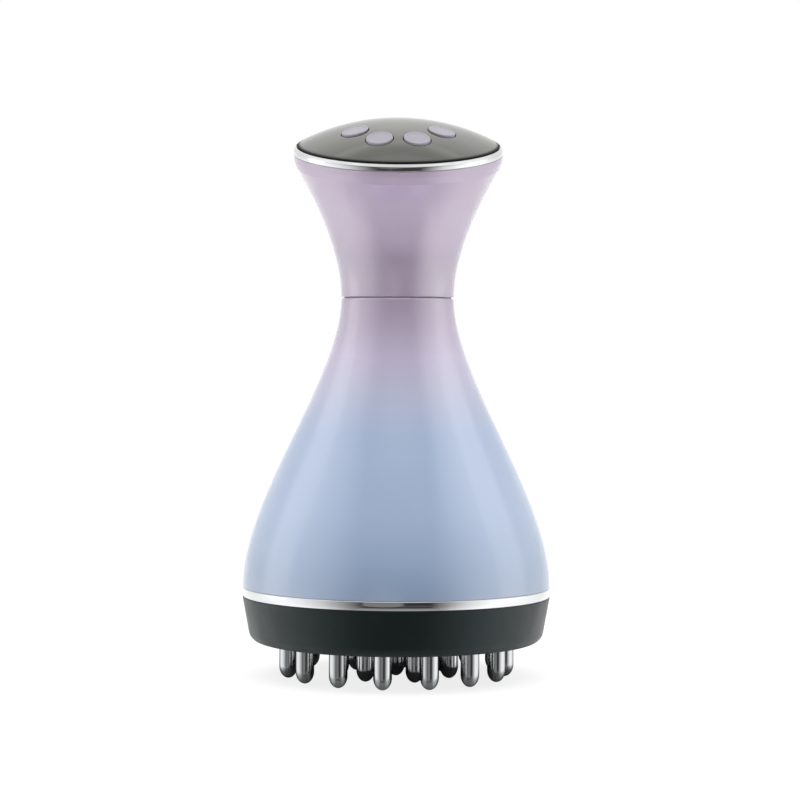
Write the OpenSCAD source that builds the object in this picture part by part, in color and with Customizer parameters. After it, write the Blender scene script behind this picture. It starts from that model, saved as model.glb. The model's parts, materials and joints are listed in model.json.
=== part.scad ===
// Cordless scalp massage brush: a waisted two-part shell on a dark base with
// metal pins, and a tilted control panel with four buttons at the top.
// The tips of the pins stand on z = 0, and the front of the brush faces -Y.

/* [Massage pins] */
// Diameter of each massage pin
pin_d = 4.4; // [3.8:0.1:4.6]
// How far the pins stand out below the base
pin_drop = 8.6; // [6:0.2:12]
// Height of the rounded tip of a pin
pin_tip_h = 2.9; // [1.6:0.1:4]
// Pins in the outer ring
outer_pin_count = 15; // [9:1:16]
// Distance of the circle through the outer pins from the foot of the base's side
outer_pin_inset = 8.9; // [8.4:0.1:9.2]
// Turn of the outer ring from the front, in degrees
outer_turn = -6.6; // [-12:0.1:12]
// Pins in the inner ring
inner_pin_count = 7; // [4:1:8]
// Distance between the circles through the outer and the inner pins
pin_ring_gap = 12.8; // [12.4:0.1:13]
// Turn of the inner ring from the front, in degrees
inner_turn = 19.4; // [0:0.1:45]
// How much wider than the shank a pin is where it passes the base, on each side
pin_land = 0.15; // [0.1:0.05:0.25]
// How much wider than the shank its collar is, on each side
pin_collar_lip = 0.7; // [0.5:0.1:0.8]
// Thickness of the collar that stops a pin in the floor
pin_collar_t = 1; // [0.8:0.1:1.4]
// Diameter of the solder post on top of a pin
pin_post_d = 1.8; // [1.4:0.1:2.2]

/* [Base] */
// Height of the dark base, from its underside to the trim band
base_h = 11; // [10.6:0.2:14]
// How far the top edge of the base lies inside the foot of the lower shell
base_step = 0.05; // [0:0.05:0.3]
// How much the base narrows to its foot, on each side
base_taper = 2; // [1:0.1:3]
// Radius of the rounded bottom edge of the base
base_corner_r = 2.8; // [1.5:0.1:3.2]
// Thickness of the floor of the base
base_floor = 2.6; // [2.4:0.1:3]
// Thickness of the wall of the base
base_wall = 2.2; // [1.8:0.1:2.6]
// Thickness of the gasket under the chassis
gasket_t = 1; // [0.6:0.1:1.4]
// Width of the gasket
gasket_w = 1.8; // [1.2:0.1:2]
// Height of the chrome trim band above the base
trim_band_h = 2.2; // [2:0.1:3]
// Thickness of the trim band, across
trim_band_t = 2.6; // [2.3:0.1:3]
// How far the trim band stands out past the foot of the lower shell
trim_band_proud = 0.1; // [0.05:0.05:0.3]
// How far the crowned face of the trim band draws in at its foot
trim_band_crown = 0.35; // [0.2:0.05:0.5]

/* [Lower shell] */
// Height of the lower shell, from the trim band to the waist
lower_shell_h = 69.8; // [69.8:0.2:80]
// Diameter of the lower shell at its foot
shell_foot_d = 74.7; // [72:0.1:78]
// Diameter of the waist
waist_d = 27.3; // [27:0.1:30]
// How far the waist's curve runs down before it flares
waist_pull = 19.1; // [15:0.1:24]
// How far the foot's curve runs up before it draws in
foot_pull = 21.5; // [16:0.1:26]
// Thickness of both shells
shell_wall = 2; // [1.6:0.1:2.2]
// Dark gap between the two shells
seam_gap = 0.3; // [0.2:0.05:0.6]
// Bevel on the rim of the lower shell at the waist
seam_bevel = 0.4; // [0.1:0.05:0.5]

/* [Upper shell and head] */
// Length of the flare, from the waist to the crease under the head
flare_len = 31.9; // [30:0.1:36]
// How far the head leans towards the front, in degrees
head_tilt = 14.5; // [0:0.5:18]
// Outer diameter of the chrome trim ring
head_ring_d = 50.6; // [49:0.1:52]
// How far the crease under the head lies inside the trim ring
crease_step = 0.7; // [0.5:0.05:0.9]
// How far the waist's curve runs up before it flares
flare_pull = 11.5; // [8:0.1:14]
// Height of the part of the flare that runs straight to the crease
crease_run = 7.3; // [5:0.1:9]
// How much the straight part widens for each millimetre of height
crease_slope = 0.53; // [0.4:0.01:0.6]
// Height of the upright band of the head above the crease
head_band_h = 3.2; // [3.2:0.1:5]
// Height of the part of the trim ring that shows
head_ring_h = 1.6; // [1.2:0.1:2]
// Bevel on the top edge of the trim ring
head_ring_bevel = 0.65; // [0.2:0.05:0.7]
// Depth of the foot of the trim ring inside the shell
head_ring_foot = 1.8; // [1.4:0.1:2.4]

/* [Control panel and buttons] */
// Gap between the control panel and the trim ring
panel_gap = 0.15; // [0.05:0.05:0.25]
// Thickness of the trim ring at its top
head_ring_t = 0.85; // [0.75:0.05:1]
// Height of the edge of the dome above the top of the trim ring
panel_edge_h = 0.3; // [0:0.05:0.4]
// Radius of the rounded rim of the dome
panel_rim_r = 1.2; // [0.4:0.1:1.2]
// Height of the crown above the top of the trim ring
crown_h = 6.3; // [5.4:0.1:6.6]
// Depth of the rim of the panel below the top of the trim ring
panel_skirt = 1.1; // [0.8:0.05:1.15]
// Thickness of the panel
panel_wall = 1.8; // [1.4:0.1:2.2]
// Diameter of each button
button_d = 6.4; // [5.8:0.1:6.6]
// How far each button stands above the dome
button_raise = 0.4; // [0.2:0.05:0.7]
// Depth of the shallow dish in the face of a button
button_dish = 0.12; // [0.05:0.01:0.2]
// Gap round each button in its hole
button_gap = 0.18; // [0.1:0.01:0.25]
// How far a button travels when it is pressed
button_travel = 0.5; // [0.3:0.05:0.7]
// Radius of the arc that the buttons lie on
button_arc_r = 10.8; // [10.6:0.1:12]
// Distance of the centre of that arc in front of the middle of the panel
button_arc_front = 4.2; // [3:0.1:4.4]
// Angle between two buttons along the arc
button_step = 48.4; // [47.5:0.1:52]
// Lip that stops a button under its guide
button_lip = 0.6; // [0.4:0.05:0.7]

/* [Control board] */
// Gap between the control board and the wall of the panel
control_board_gap = 3.2; // [2.8:0.1:3.4]
// Thickness of all circuit boards
board_t = 1.6; // [1:0.1:1.8]
// Distance of the screws of the control board from its edge
board_screw_inset = 2.7; // [2.4:0.1:3]
// Width of a switch under a button
switch_w = 5.2; // [4:0.1:5.4]
// Height of the body of a switch
switch_h = 1.5; // [1.2:0.1:1.8]
// Diameter of the plunger of a switch
plunger_d = 2.4; // [1.6:0.1:3]
// Height of the plunger above the body of the switch
plunger_h = 0.6; // [0.4:0.05:0.8]

/* [Neck sleeve] */
// Length of the sleeve in each shell
sleeve_grip = 7; // [5:0.5:9]
// Thickness of the sleeve
sleeve_wall = 1.2; // [1:0.1:1.4]
// Thickness of the seat that each shell has round the sleeve
sleeve_seat = 1.1; // [1:0.1:1.3]
// Gap between the sleeve and its seat
sleeve_gap = 0.05; // [0.02:0.01:0.1]
// How far the collar of the sleeve lies behind the outer face of the waist
collar_inset = 0.7; // [0.5:0.1:1]

/* [Chassis and fasteners] */
// Thickness of the plate of the chassis
chassis_plate = 2; // [1.6:0.1:2.2]
// Gap between the chassis and the trim band
chassis_gap = 0.2; // [0.1:0.05:0.3]
// Distance of the screws that hold the chassis from its edge
chassis_screw_inset = 5.45; // [5:0.05:5.6]
// Diameter of the shank of the large screws
screw_d = 2.4; // [2:0.1:2.6]
// Diameter of the head of the large screws
screw_head_d = 4.4; // [4:0.1:4.6]
// Height of the head of the large screws
screw_head_h = 1.4; // [1.2:0.1:1.5]
// Length of the shank of the large screws
screw_len = 8; // [7:0.5:8]
// Diameter of the shank of the small screws
small_screw_d = 1.8; // [1.4:0.1:2]
// Diameter of the head of the small screws
small_head_d = 3.4; // [3:0.1:3.6]
// Height of the head of the small screws
small_head_h = 1; // [0.8:0.1:1.2]
// Length of the shank of the small screws
small_screw_len = 4.5; // [4:0.5:5]
// Thickness of the wall round each screw hole
boss_wall = 1.5; // [1.2:0.1:1.6]

/* [Vibration motor] */
// Diameter of the can of the motor
motor_d = 20; // [18:0.5:21]
// Length of the can of the motor
motor_len = 22; // [18:0.5:24]
// Height of the end cap on the can
end_cap_h = 3; // [2:0.5:4]
// Thickness of the rubber boot round the can
boot_t = 1; // [0.8:0.1:1.4]
// Diameter of the shaft of the motor
shaft_d = 2; // [1.5:0.1:2.3]
// Gap between the shaft and its bearing bore
shaft_gap = 0.05; // [0.02:0.01:0.08]
// Diameter of the nose of the motor
nose_d = 6; // [5:0.5:8]
// Radius of the eccentric weight
weight_r = 9; // [7:0.5:10]
// Thickness of the eccentric weight
weight_t = 3.6; // [2.6:0.1:3.8]
// Gap over and under the weight
weight_gap = 0.6; // [0.4:0.1:0.8]

/* [Battery] */
// Diameter of the battery cell
cell_d = 14.2; // [13:0.1:14.6]
// Length of the battery cell
cell_len = 50.5; // [44:0.5:51]
// Thickness of the nickel tabs at its ends
tab_t = 0.3; // [0.2:0.05:0.5]
// Gap between the cell and its cradle
cell_gap = 0.1; // [0.05:0.01:0.15]
// Thickness of the walls of the cradle
cradle_wall = 1.3; // [1.1:0.1:1.4]
// Thickness of the foot of the cradle
cradle_foot = 2; // [1.6:0.1:2.6]

/* [Main board and charging socket] */
// Width of the main board
main_board_w = 28; // [26:0.5:29]
// Gap between the main board and the cup of the motor
board_front_gap = 0.75; // [0.5:0.05:1.5]
// Gap between the main board and the inside of the shell's foot
board_rear_gap = 3.95; // [3.6:0.05:4.4]
// Height of the posts under the main board
main_post_h = 3; // [2.5:0.1:4]
// Width of the charging socket
socket_w = 9; // [8:0.1:9.2]
// Height of the charging socket
socket_h = 3.2; // [3:0.1:3.4]
// Depth of the charging socket
socket_depth = 7; // [6:0.1:7.4]
// How far the charging socket stands out behind the main board
socket_out = 2.8; // [2.4:0.1:3]
// Thickness of the sheet of the charging socket
socket_sheet = 0.35; // [0.25:0.05:0.45]
// Gap round the socket in the opening of the shell
port_gap = 0.3; // [0.2:0.05:0.5]

/* [Wires] */
// Diameter of the cable that runs up to the control board
cable_d = 1.5; // [1:0.1:1.6]
// Diameter of the leads of the motor and the battery
lead_d = 0.9; // [0.6:0.1:1]
// Length over which the cable bends
cable_bend = 8; // [6:0.5:9]
// Length over which a lead bends
lead_bend = 6; // [4:0.5:7]

/* [Hidden] */
$fn = 96;
// A little extra length where one shape cuts or joins another
eps = 0.05;
// Distance that carries a cut right through whatever it meets
through = 60;

// Heights of the stack, from the tips of the pins upwards
base_bottom_z = pin_drop;
floor_top_z = base_bottom_z + base_floor;
base_top_z = base_bottom_z + base_h;
shell_foot_z = base_top_z + trim_band_h;
chassis_bottom_z = shell_foot_z - chassis_plate;
ledge_z = chassis_bottom_z - gasket_t;
waist_z = shell_foot_z + lower_shell_h;
upper_foot_z = waist_z + seam_gap;
contact_board_z = floor_top_z + pin_collar_t;
contact_top_z = contact_board_z + board_t;
motor_top_z = shell_foot_z + motor_len;
cell_z = motor_top_z + cradle_foot + tab_t;
cell_top_z = cell_z + cell_len;
cradle_top_z = cell_top_z + tab_t + cradle_wall;
main_board_z = shell_foot_z + main_post_h;
weight_z = chassis_bottom_z - weight_gap - weight_t;
main_board_top_z = main_board_z + board_t;

// Radii
pin_r = pin_d / 2;
land_r = pin_r + pin_land;
collar_r = pin_r + pin_collar_lip;
foot_r = shell_foot_d / 2;
base_top_r = foot_r - base_step;
base_foot_r = base_top_r - base_taper;
outer_ring_r = base_foot_r - outer_pin_inset;
inner_ring_r = outer_ring_r - pin_ring_gap;
waist_r = waist_d / 2;
head_ring_r = head_ring_d / 2;
crease_r = head_ring_r - crease_step;
ring_inner_r = head_ring_r - head_ring_t;
panel_r = ring_inner_r - panel_gap;
trim_band_r = foot_r + trim_band_proud;
trim_band_inner_r = trim_band_r - trim_band_t;
chassis_r = trim_band_inner_r - chassis_gap;
gasket_r = chassis_r - 0.2;
sleeve_bore_r = waist_r - shell_wall;
sleeve_r = sleeve_bore_r - sleeve_gap;
button_r = button_d / 2;
hole_r = button_r + button_gap;
boss_r = screw_d / 2 + boss_wall;
small_boss_r = small_screw_d / 2 + boss_wall - 0.2;
cup_r = motor_d / 2 + boot_t;
cup_outer_r = cup_r + cradle_wall;
cradle_r = cell_d / 2 + cell_gap;
cradle_outer_r = cradle_r + cradle_wall;
cell_r = cell_d / 2;
control_board_r = panel_r - panel_wall - control_board_gap;

// Rings of fasteners
base_boss_ring = (outer_ring_r + inner_ring_r) / 2;
base_boss_angles = [45, 135, 225, 315];
contact_screw_angles = [0, 90, 180, 270];
cradle_screw_ring = cup_outer_r + small_boss_r - eps;
cradle_screw_angles = [30, 150, 270];
chassis_screw_ring = chassis_r - chassis_screw_inset;
board_screw_ring = control_board_r - board_screw_inset;
board_screw_angles = [-95, 95, 180];

// The head: its middle lies on the plane of the top of the trim ring
tilt_rad = head_tilt * PI / 180;
band_depth = head_ring_h + head_band_h;
crease_y = -flare_len * tilt_rad / 3;
crease_z = upper_foot_z + flare_len * (1 - tilt_rad * tilt_rad / 10);
head_y = crease_y - band_depth * sin(head_tilt);
head_z = crease_z + band_depth * cos(head_tilt);
// Radius of the dome, from its crown, its edge and the radius of the panel
dome_rise = crown_h - panel_edge_h;
dome_r = (panel_r * panel_r + dome_rise * dome_rise) / (2 * dome_rise);

// Levels in the head's own frame, down from the top of the trim ring
ring_ledge_r = panel_r - panel_wall + 0.4;
ring_foot_r = crease_r - 0.75;
ring_ledge_z = -panel_skirt;
ring_foot_z = -head_ring_h - head_ring_foot;
guide_z = -0.6;
flange_t = 0.8;
flange_z = guide_z - flange_t;
plunger_z = flange_z - button_travel - 0.05;
board_top_z = plunger_z - plunger_h - switch_h;
board_bottom_z = board_top_z - board_t;
guide_wall = 0.7;
// Plug of the cable on the control board, and its place behind the middle
plug_size = [8, 4, 2.6];
plug_y = 9;

// Details inside the base and the lower shell
ledge_t = 1.5;
shell_boss_h = screw_len + 4;
terminal_x = 1.8;
terminal_out = 1.6;
tab_out = 0.8;
lead_slot_w = 8.4;
screw_inset = 2.6;
main_board_rear = foot_r - shell_wall - board_rear_gap;
main_board_front = cradle_screw_ring + small_boss_r + board_front_gap;
socket_rear = main_board_rear + socket_out;
socket_back_t = 1.5;
// Places that the wires keep to, behind the middle
wire_board_y = main_board_front + 1;
wire_rise_y = sleeve_r - sleeve_wall - cable_d / 2 - 0.2;
lead_rise_y = wire_rise_y - 0.8;
solder_gap = 0.1;

// How finely curves are drawn
profile_steps = 30;
loft_steps = 16;
loft_sides = 48;
tube_sides = 8;

// Point of a cubic Bezier curve through p0 and p3, pulled towards p1 and p2
function bezier(p0, p1, p2, p3, t) =
    pow(1 - t, 3) * p0 + 3 * pow(1 - t, 2) * t * p1 + 3 * (1 - t) * t * t * p2 + pow(t, 3) * p3;
// Points of an arc about c, from angle a0 to angle a1
function arc(c, r, a0, a1, n) =
    [for (i = [0:n]) c + r * [cos(a0 + (a1 - a0) * i / n), sin(a0 + (a1 - a0) * i / n)]];
// Place on a circle, with the angle counted from the front towards +X
function on_ring(r, a) = [r * sin(a), -r * cos(a)];

// Outline of the lower shell, from the foot up to the waist
function lower_outline(inset, t) =
    bezier([foot_r - inset, shell_foot_z], [foot_r - inset, shell_foot_z + foot_pull],
           [waist_r - inset, waist_z - waist_pull], [waist_r - inset, waist_z], t);
// Outline of the flare as radius and length along its centre line
function flare_outline(inset, t) =
    bezier([waist_r - inset, 0], [waist_r - inset, flare_pull],
           [crease_r - inset - crease_run * crease_slope, flare_len - crease_run],
           [crease_r - inset, flare_len], t);

// The dome, as a height over the top of the trim ring
function dome_z(rho, r) = sqrt(r * r - rho * rho) - (dome_r - crown_h);
// A point given in the head's frame, in the frame of the whole brush
function head_point(p) = [
    p[0],
    head_y + p[1] * cos(head_tilt) - p[2] * sin(head_tilt),
    head_z + p[1] * sin(head_tilt) + p[2] * cos(head_tilt)
];
// Middle of each button in the head's frame, from far left to far right
function button_place(i) =
    on_ring(button_arc_r, (i - 1.5) * button_step) - [0, button_arc_front];

module in_head() {
    translate([0, head_y, head_z]) rotate([head_tilt, 0, 0]) children();
}

module ring_of(r, angles) {
    for (a = angles) translate([on_ring(r, a)[0], on_ring(r, a)[1], 0]) children();
}

module tube(r_out, r_in, h) {
    difference() {
        cylinder(r = r_out, h = h);
        translate([0, 0, -1]) cylinder(r = r_in, h = h + 2);
    }
}

// Pan-head screw pointing up, with its head below z = 0
module screw(d, head_d, head_h, len) {
    difference() {
        union() {
            cylinder(d = d, h = len);
            translate([0, 0, -head_h]) cylinder(d = head_d, h = head_h);
        }
        // Cross recess
        for (a = [0, 90]) rotate([0, 0, a]) translate([-head_d * 0.3, -head_d * 0.06, -head_h - 1])
            cube([head_d * 0.6, head_d * 0.12, 1 + head_h * 0.6]);
    }
}
module large_screw() { screw(screw_d, screw_head_d, screw_head_h, screw_len); }
module small_screw() { screw(small_screw_d, small_head_d, small_head_h, small_screw_len); }

function unit(v) = v / norm(v);
// Catmull-Rom curve from b to c, with a and d as the points before and after
function spline(a, b, c, d, t) =
    b + t / 2 * (c - a + t * (2 * a - 5 * b + 4 * c - d + t * (3 * b - a - 3 * c + d)));
function smooth_route(p, n) = [
    for (i = [0:len(p) - 2]) for (k = [0:n - 1])
        spline(p[max(i - 1, 0)], p[i], p[i + 1], p[min(i + 2, len(p) - 1)], k / n),
    p[len(p) - 1]
];
// Round tube swept along a route that never runs along X
module swept_wire(points, d) {
    route = smooth_route(points, 4);
    last = len(route) - 1;
    rings = [for (i = [0:last])
        let (way = unit(route[min(i + 1, last)] - route[max(i - 1, 0)]),
             side = unit([1, 0, 0] - (way * [1, 0, 0]) * way),
             up = cross(way, side))
        for (k = [0:tube_sides - 1])
            route[i] + d / 2 * (cos(k * 360 / tube_sides) * side + sin(k * 360 / tube_sides) * up)];
    walls = [for (i = [0:last - 1]) for (k = [0:tube_sides - 1]) for (half = [0, 1])
        let (a = i * tube_sides + k, b = i * tube_sides + (k + 1) % tube_sides)
        half == 0 ? [a, a + tube_sides, b + tube_sides] : [a, b + tube_sides, b]];
    ends = [[for (k = [0:tube_sides - 1]) k],
            [for (k = [tube_sides - 1:-1:0]) last * tube_sides + k]];
    polyhedron(rings, concat(walls, ends), convexity = 10);
}

// One pin: bullet tip, shank, land in the floor of the base, collar over it and solder post
module massage_pin() {
    post_r = pin_post_d / 2;
    post_top_z = contact_top_z + 0.4;
    rotate_extrude() polygon(concat(
        [for (i = [0:8]) [pin_r * sin(90 * i / 8), pin_tip_h * (1 - cos(90 * i / 8))]],
        [[pin_r, base_bottom_z], [land_r, base_bottom_z], [land_r, floor_top_z],
         [collar_r, floor_top_z], [collar_r, contact_board_z],
         [post_r, contact_board_z], [post_r, post_top_z], [0, post_top_z]]));
}
// Angles of a whole ring of pins
function even_angles(count, turn) = [for (i = [0:count - 1]) turn + i * 360 / count];
module outer_places() {
    ring_of(outer_ring_r, even_angles(outer_pin_count, outer_turn)) children();
}
module inner_places() {
    ring_of(inner_ring_r, even_angles(inner_pin_count, inner_turn)) children();
}
module all_pin_places() {
    outer_places() children();
    inner_places() children();
    children();
}

module outer_massage_pins() { color("silver") outer_places() massage_pin(); }
module inner_massage_pins() { color("silver") inner_places() massage_pin(); }
module centre_massage_pin() { color("silver") massage_pin(); }

// Dark base: rounded bottom edge, pin holes, screw recesses and gasket ledge
module base_cover() {
    slope = atan(base_taper / base_h);
    corner = [base_foot_r - base_corner_r * (1 / cos(slope) - tan(slope)), base_bottom_z + base_corner_r];
    color("#2b3133") difference() {
        union() {
            rotate_extrude() polygon(concat(
                [[0, base_bottom_z]],
                arc(corner, base_corner_r, -90, -slope, 8),
                [[base_top_r, base_top_z], [base_top_r - base_wall, base_top_z],
                 [base_foot_r - base_wall, floor_top_z], [0, floor_top_z]]));
            translate([0, 0, ledge_z - ledge_t])
                tube(base_top_r - base_wall + eps, gasket_r - gasket_w - 0.3, ledge_t);
            ring_of(base_boss_ring, contact_screw_angles)
                translate([0, 0, floor_top_z - eps]) cylinder(r = small_boss_r, h = pin_collar_t + eps);
        }
        all_pin_places() translate([0, 0, base_bottom_z - 1]) cylinder(r = land_r, h = base_floor + 2);
        ring_of(base_boss_ring, base_boss_angles) {
            translate([0, 0, base_bottom_z - 1]) cylinder(d = screw_d + 0.2, h = base_floor + 2);
            translate([0, 0, base_bottom_z - 1]) cylinder(d = screw_head_d + 0.4, h = screw_head_h + 1.2);
        }
        ring_of(base_boss_ring, contact_screw_angles) translate([0, 0, contact_top_z - small_screw_len])
            cylinder(d = small_screw_d, h = small_screw_len);
    }
}

module base_screws() {
    color("gray") ring_of(base_boss_ring, base_boss_angles)
        translate([0, 0, base_bottom_z + screw_head_h + 0.2]) large_screw();
}

module base_gasket() {
    color("dimgray") translate([0, 0, ledge_z]) tube(gasket_r, gasket_r - gasket_w, gasket_t);
}

// Chrome band between the base and the lower shell, crowned towards its foot
module lower_trim_band() {
    bevel = 0.17;
    crown_top_z = base_top_z + trim_band_h * 0.65;
    color("silver") rotate_extrude() polygon(concat(
        [[trim_band_inner_r, base_top_z]],
        [for (i = [0:5]) [trim_band_r - trim_band_crown * pow(1 - i / 5, 2),
                          base_top_z + (crown_top_z - base_top_z) * i / 5]],
        [[trim_band_r, shell_foot_z - bevel], [trim_band_r - bevel, shell_foot_z],
         [trim_band_inner_r, shell_foot_z]]));
}

module contact_board() {
    color("darkgreen") difference() {
        translate([0, 0, contact_board_z]) cylinder(r = outer_ring_r + collar_r + 1.1, h = board_t);
        all_pin_places() translate([0, 0, contact_board_z - 1]) cylinder(d = pin_post_d, h = board_t + 2);
        ring_of(base_boss_ring, base_boss_angles)
            translate([0, 0, contact_board_z - 1]) cylinder(r = boss_r + 0.2, h = board_t + 2);
        ring_of(base_boss_ring, contact_screw_angles)
            translate([0, 0, contact_board_z - 1]) cylinder(d = small_screw_d, h = board_t + 2);
    }
}
module contact_board_screws() {
    color("gray") ring_of(base_boss_ring, contact_screw_angles)
        translate([0, 0, contact_top_z]) mirror([0, 0, 1]) small_screw();
}

// Chassis: plate in the trim band, legs down to the base and a cup for the motor
module chassis() {
    color("#3a3f42") difference() {
        union() {
            translate([0, 0, chassis_bottom_z]) cylinder(r = chassis_r, h = chassis_plate);
            ring_of(base_boss_ring, base_boss_angles)
                translate([0, 0, floor_top_z]) cylinder(r = boss_r, h = chassis_bottom_z - floor_top_z + eps);
            translate([0, 0, shell_foot_z - eps]) cylinder(r = cup_outer_r, h = motor_len + eps);
            ring_of(cradle_screw_ring, cradle_screw_angles)
                translate([0, 0, shell_foot_z - eps]) cylinder(r = small_boss_r, h = motor_len + eps);
            main_board_places() translate([0, 0, shell_foot_z - eps])
                cylinder(r = small_boss_r, h = main_post_h + eps);
        }
        translate([0, 0, shell_foot_z]) cylinder(r = cup_r, h = motor_len + 1);
        translate([0, 0, chassis_bottom_z - 1]) cylinder(d = nose_d + 0.2, h = chassis_plate + 2);
        ring_of(base_boss_ring, base_boss_angles)
            translate([0, 0, floor_top_z - 1]) cylinder(d = screw_d, h = screw_len + 1);
        ring_of(chassis_screw_ring, base_boss_angles)
            translate([0, 0, chassis_bottom_z - 1]) cylinder(d = screw_d + 0.2, h = chassis_plate + 2);
        ring_of(cradle_screw_ring, cradle_screw_angles) translate([0, 0, motor_top_z - small_screw_len])
            cylinder(d = small_screw_d, h = small_screw_len + 1);
        main_board_places() translate([0, 0, main_board_top_z - small_screw_len])
            cylinder(d = small_screw_d, h = small_screw_len);
        // Slot for the leads
        translate([-lead_slot_w / 2, 0, motor_top_z - end_cap_h - 2])
            cube([lead_slot_w, cup_outer_r + 1, end_cap_h + 3]);
    }
}
module chassis_screws() {
    color("gray") ring_of(chassis_screw_ring, base_boss_angles)
        translate([0, 0, chassis_bottom_z]) large_screw();
}

// Lower shell: flared skin, seat for the sleeve, screw bosses and charging port
module lower_shell() {
    color("#aebcd6") difference() {
        union() {
            rotate_extrude() polygon(concat(
                [for (i = [0:profile_steps - 1]) lower_outline(0, i / profile_steps)],
                [[waist_r, waist_z - seam_bevel], [waist_r - seam_bevel, waist_z],
                 [waist_r - shell_wall, waist_z]],
                [for (i = [profile_steps - 1:-1:0]) lower_outline(shell_wall, i / profile_steps)]));
            translate([0, 0, waist_z - sleeve_grip])
                tube(sleeve_bore_r + sleeve_seat, sleeve_bore_r, sleeve_grip);
            // Bosses for the chassis screws, each with a rib to the wall
            intersection() {
                union() {
                    ring_of(chassis_screw_ring, base_boss_angles) translate([0, 0, shell_foot_z])
                        cylinder(r = boss_r, h = shell_boss_h);
                    for (a = base_boss_angles) rotate([0, 0, a])
                        translate([chassis_screw_ring, -0.8, shell_foot_z]) cube([foot_r, 1.6, shell_boss_h]);
                }
                rotate_extrude() polygon(concat([[0, shell_foot_z]],
                    [for (i = [0:profile_steps]) lower_outline(shell_wall / 2, i / profile_steps)],
                    [[0, waist_z]]));
            }
        }
        ring_of(chassis_screw_ring, base_boss_angles)
            translate([0, 0, shell_foot_z - 1]) cylinder(d = screw_d, h = screw_len + 1 - chassis_plate);
        port_opening();
    }
}
// Rounded opening at the rear for the plug of the charger
module port_opening() {
    w = socket_w + 2 * port_gap;
    h = socket_h + 2 * port_gap;
    translate([0, main_board_rear, main_board_top_z + socket_h / 2]) rotate([-90, 0, 0]) {
        translate([-(w - h) / 2, -h / 2, 0]) cube([w - h, h, through]);
        for (side = [-1, 1]) translate([side * (w - h) / 2, 0, 0]) cylinder(d = h, h = through);
    }
}

// Sleeve that joins the shells, with a thin collar that shows as the seam
module neck_sleeve() {
    color("#3a3f42") difference() {
        union() {
            translate([0, 0, waist_z - sleeve_grip]) cylinder(r = sleeve_r, h = 2 * sleeve_grip + seam_gap);
            translate([0, 0, waist_z]) cylinder(r = waist_r - collar_inset, h = seam_gap);
        }
        translate([0, 0, waist_z - sleeve_grip - 1])
            cylinder(r = sleeve_r - sleeve_wall, h = 2 * sleeve_grip + seam_gap + 2);
    }
}

// Upper shell: round sections that lean more and more on the way to the head
function round_section(r, y, z, lean) =
    [for (k = [0:loft_sides - 1])
        let (a = 360 * k / loft_sides)
        [r * cos(a), y + r * sin(a) * cos(lean), z + r * sin(a) * sin(lean)]];
function flare_section(inset, t) =
    let (p = flare_outline(inset, t), u = p[1] / flare_len)
    round_section(p[0], -flare_len * tilt_rad * pow(u, 3) / 3,
                  upper_foot_z + flare_len * (u - tilt_rad * tilt_rad * pow(u, 5) / 10),
                  head_tilt * u * u);
function head_section(r, z) =
    round_section(r, head_y - z * sin(head_tilt), head_z + z * cos(head_tilt), head_tilt);
module upper_shell() {
    // A many-sided hole clears a round piece only once it is this much wider
    hole_fit = 1 / cos(180 / loft_sides);
    bore_r = sleeve_bore_r * hole_fit;
    pocket_r = (ring_foot_r + 0.02) * hole_fit;
    sections = concat(
        [for (i = [0:loft_steps]) flare_section(0, i / loft_steps)],
        [head_section(head_ring_r - 0.2, -head_ring_h - head_band_h * 0.55),
         head_section(head_ring_r - 0.05, -head_ring_h), head_section(pocket_r, -head_ring_h),
         head_section(pocket_r, ring_foot_z), head_section(crease_r - shell_wall, ring_foot_z)],
        [for (i = [loft_steps:-1:0])
            if (flare_outline(shell_wall, i / loft_steps)[1] > sleeve_grip + 0.5)
                flare_section(shell_wall, i / loft_steps)],
        [round_section(bore_r, 0, upper_foot_z + sleeve_grip, 0), round_section(bore_r, 0, upper_foot_z, 0)]);
    count = len(sections);
    faces = [for (i = [0:count - 1]) for (k = [0:loft_sides - 1]) for (half = [0, 1])
        let (next_k = (k + 1) % loft_sides, row = i * loft_sides, next_row = ((i + 1) % count) * loft_sides)
        half == 0 ? [row + k, next_row + k, next_row + next_k]
                  : [row + k, next_row + next_k, row + next_k]];
    color("#cdbfd3") polyhedron([for (section = sections) for (p = section) p], faces, convexity = 10);
}

// Chrome ring: bevelled top edge, ledge for the panel and foot in the shell
module head_trim_ring() {
    color("silver") in_head() rotate_extrude() polygon([
        [head_ring_r, -head_ring_h], [head_ring_r, -head_ring_bevel], [head_ring_r - head_ring_bevel, 0],
        [ring_inner_r, 0], [ring_inner_r, ring_ledge_z], [ring_ledge_r, ring_ledge_z],
        [ring_ledge_r, ring_foot_z], [ring_foot_r, ring_foot_z], [ring_foot_r, -head_ring_h]
    ]);
}

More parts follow.
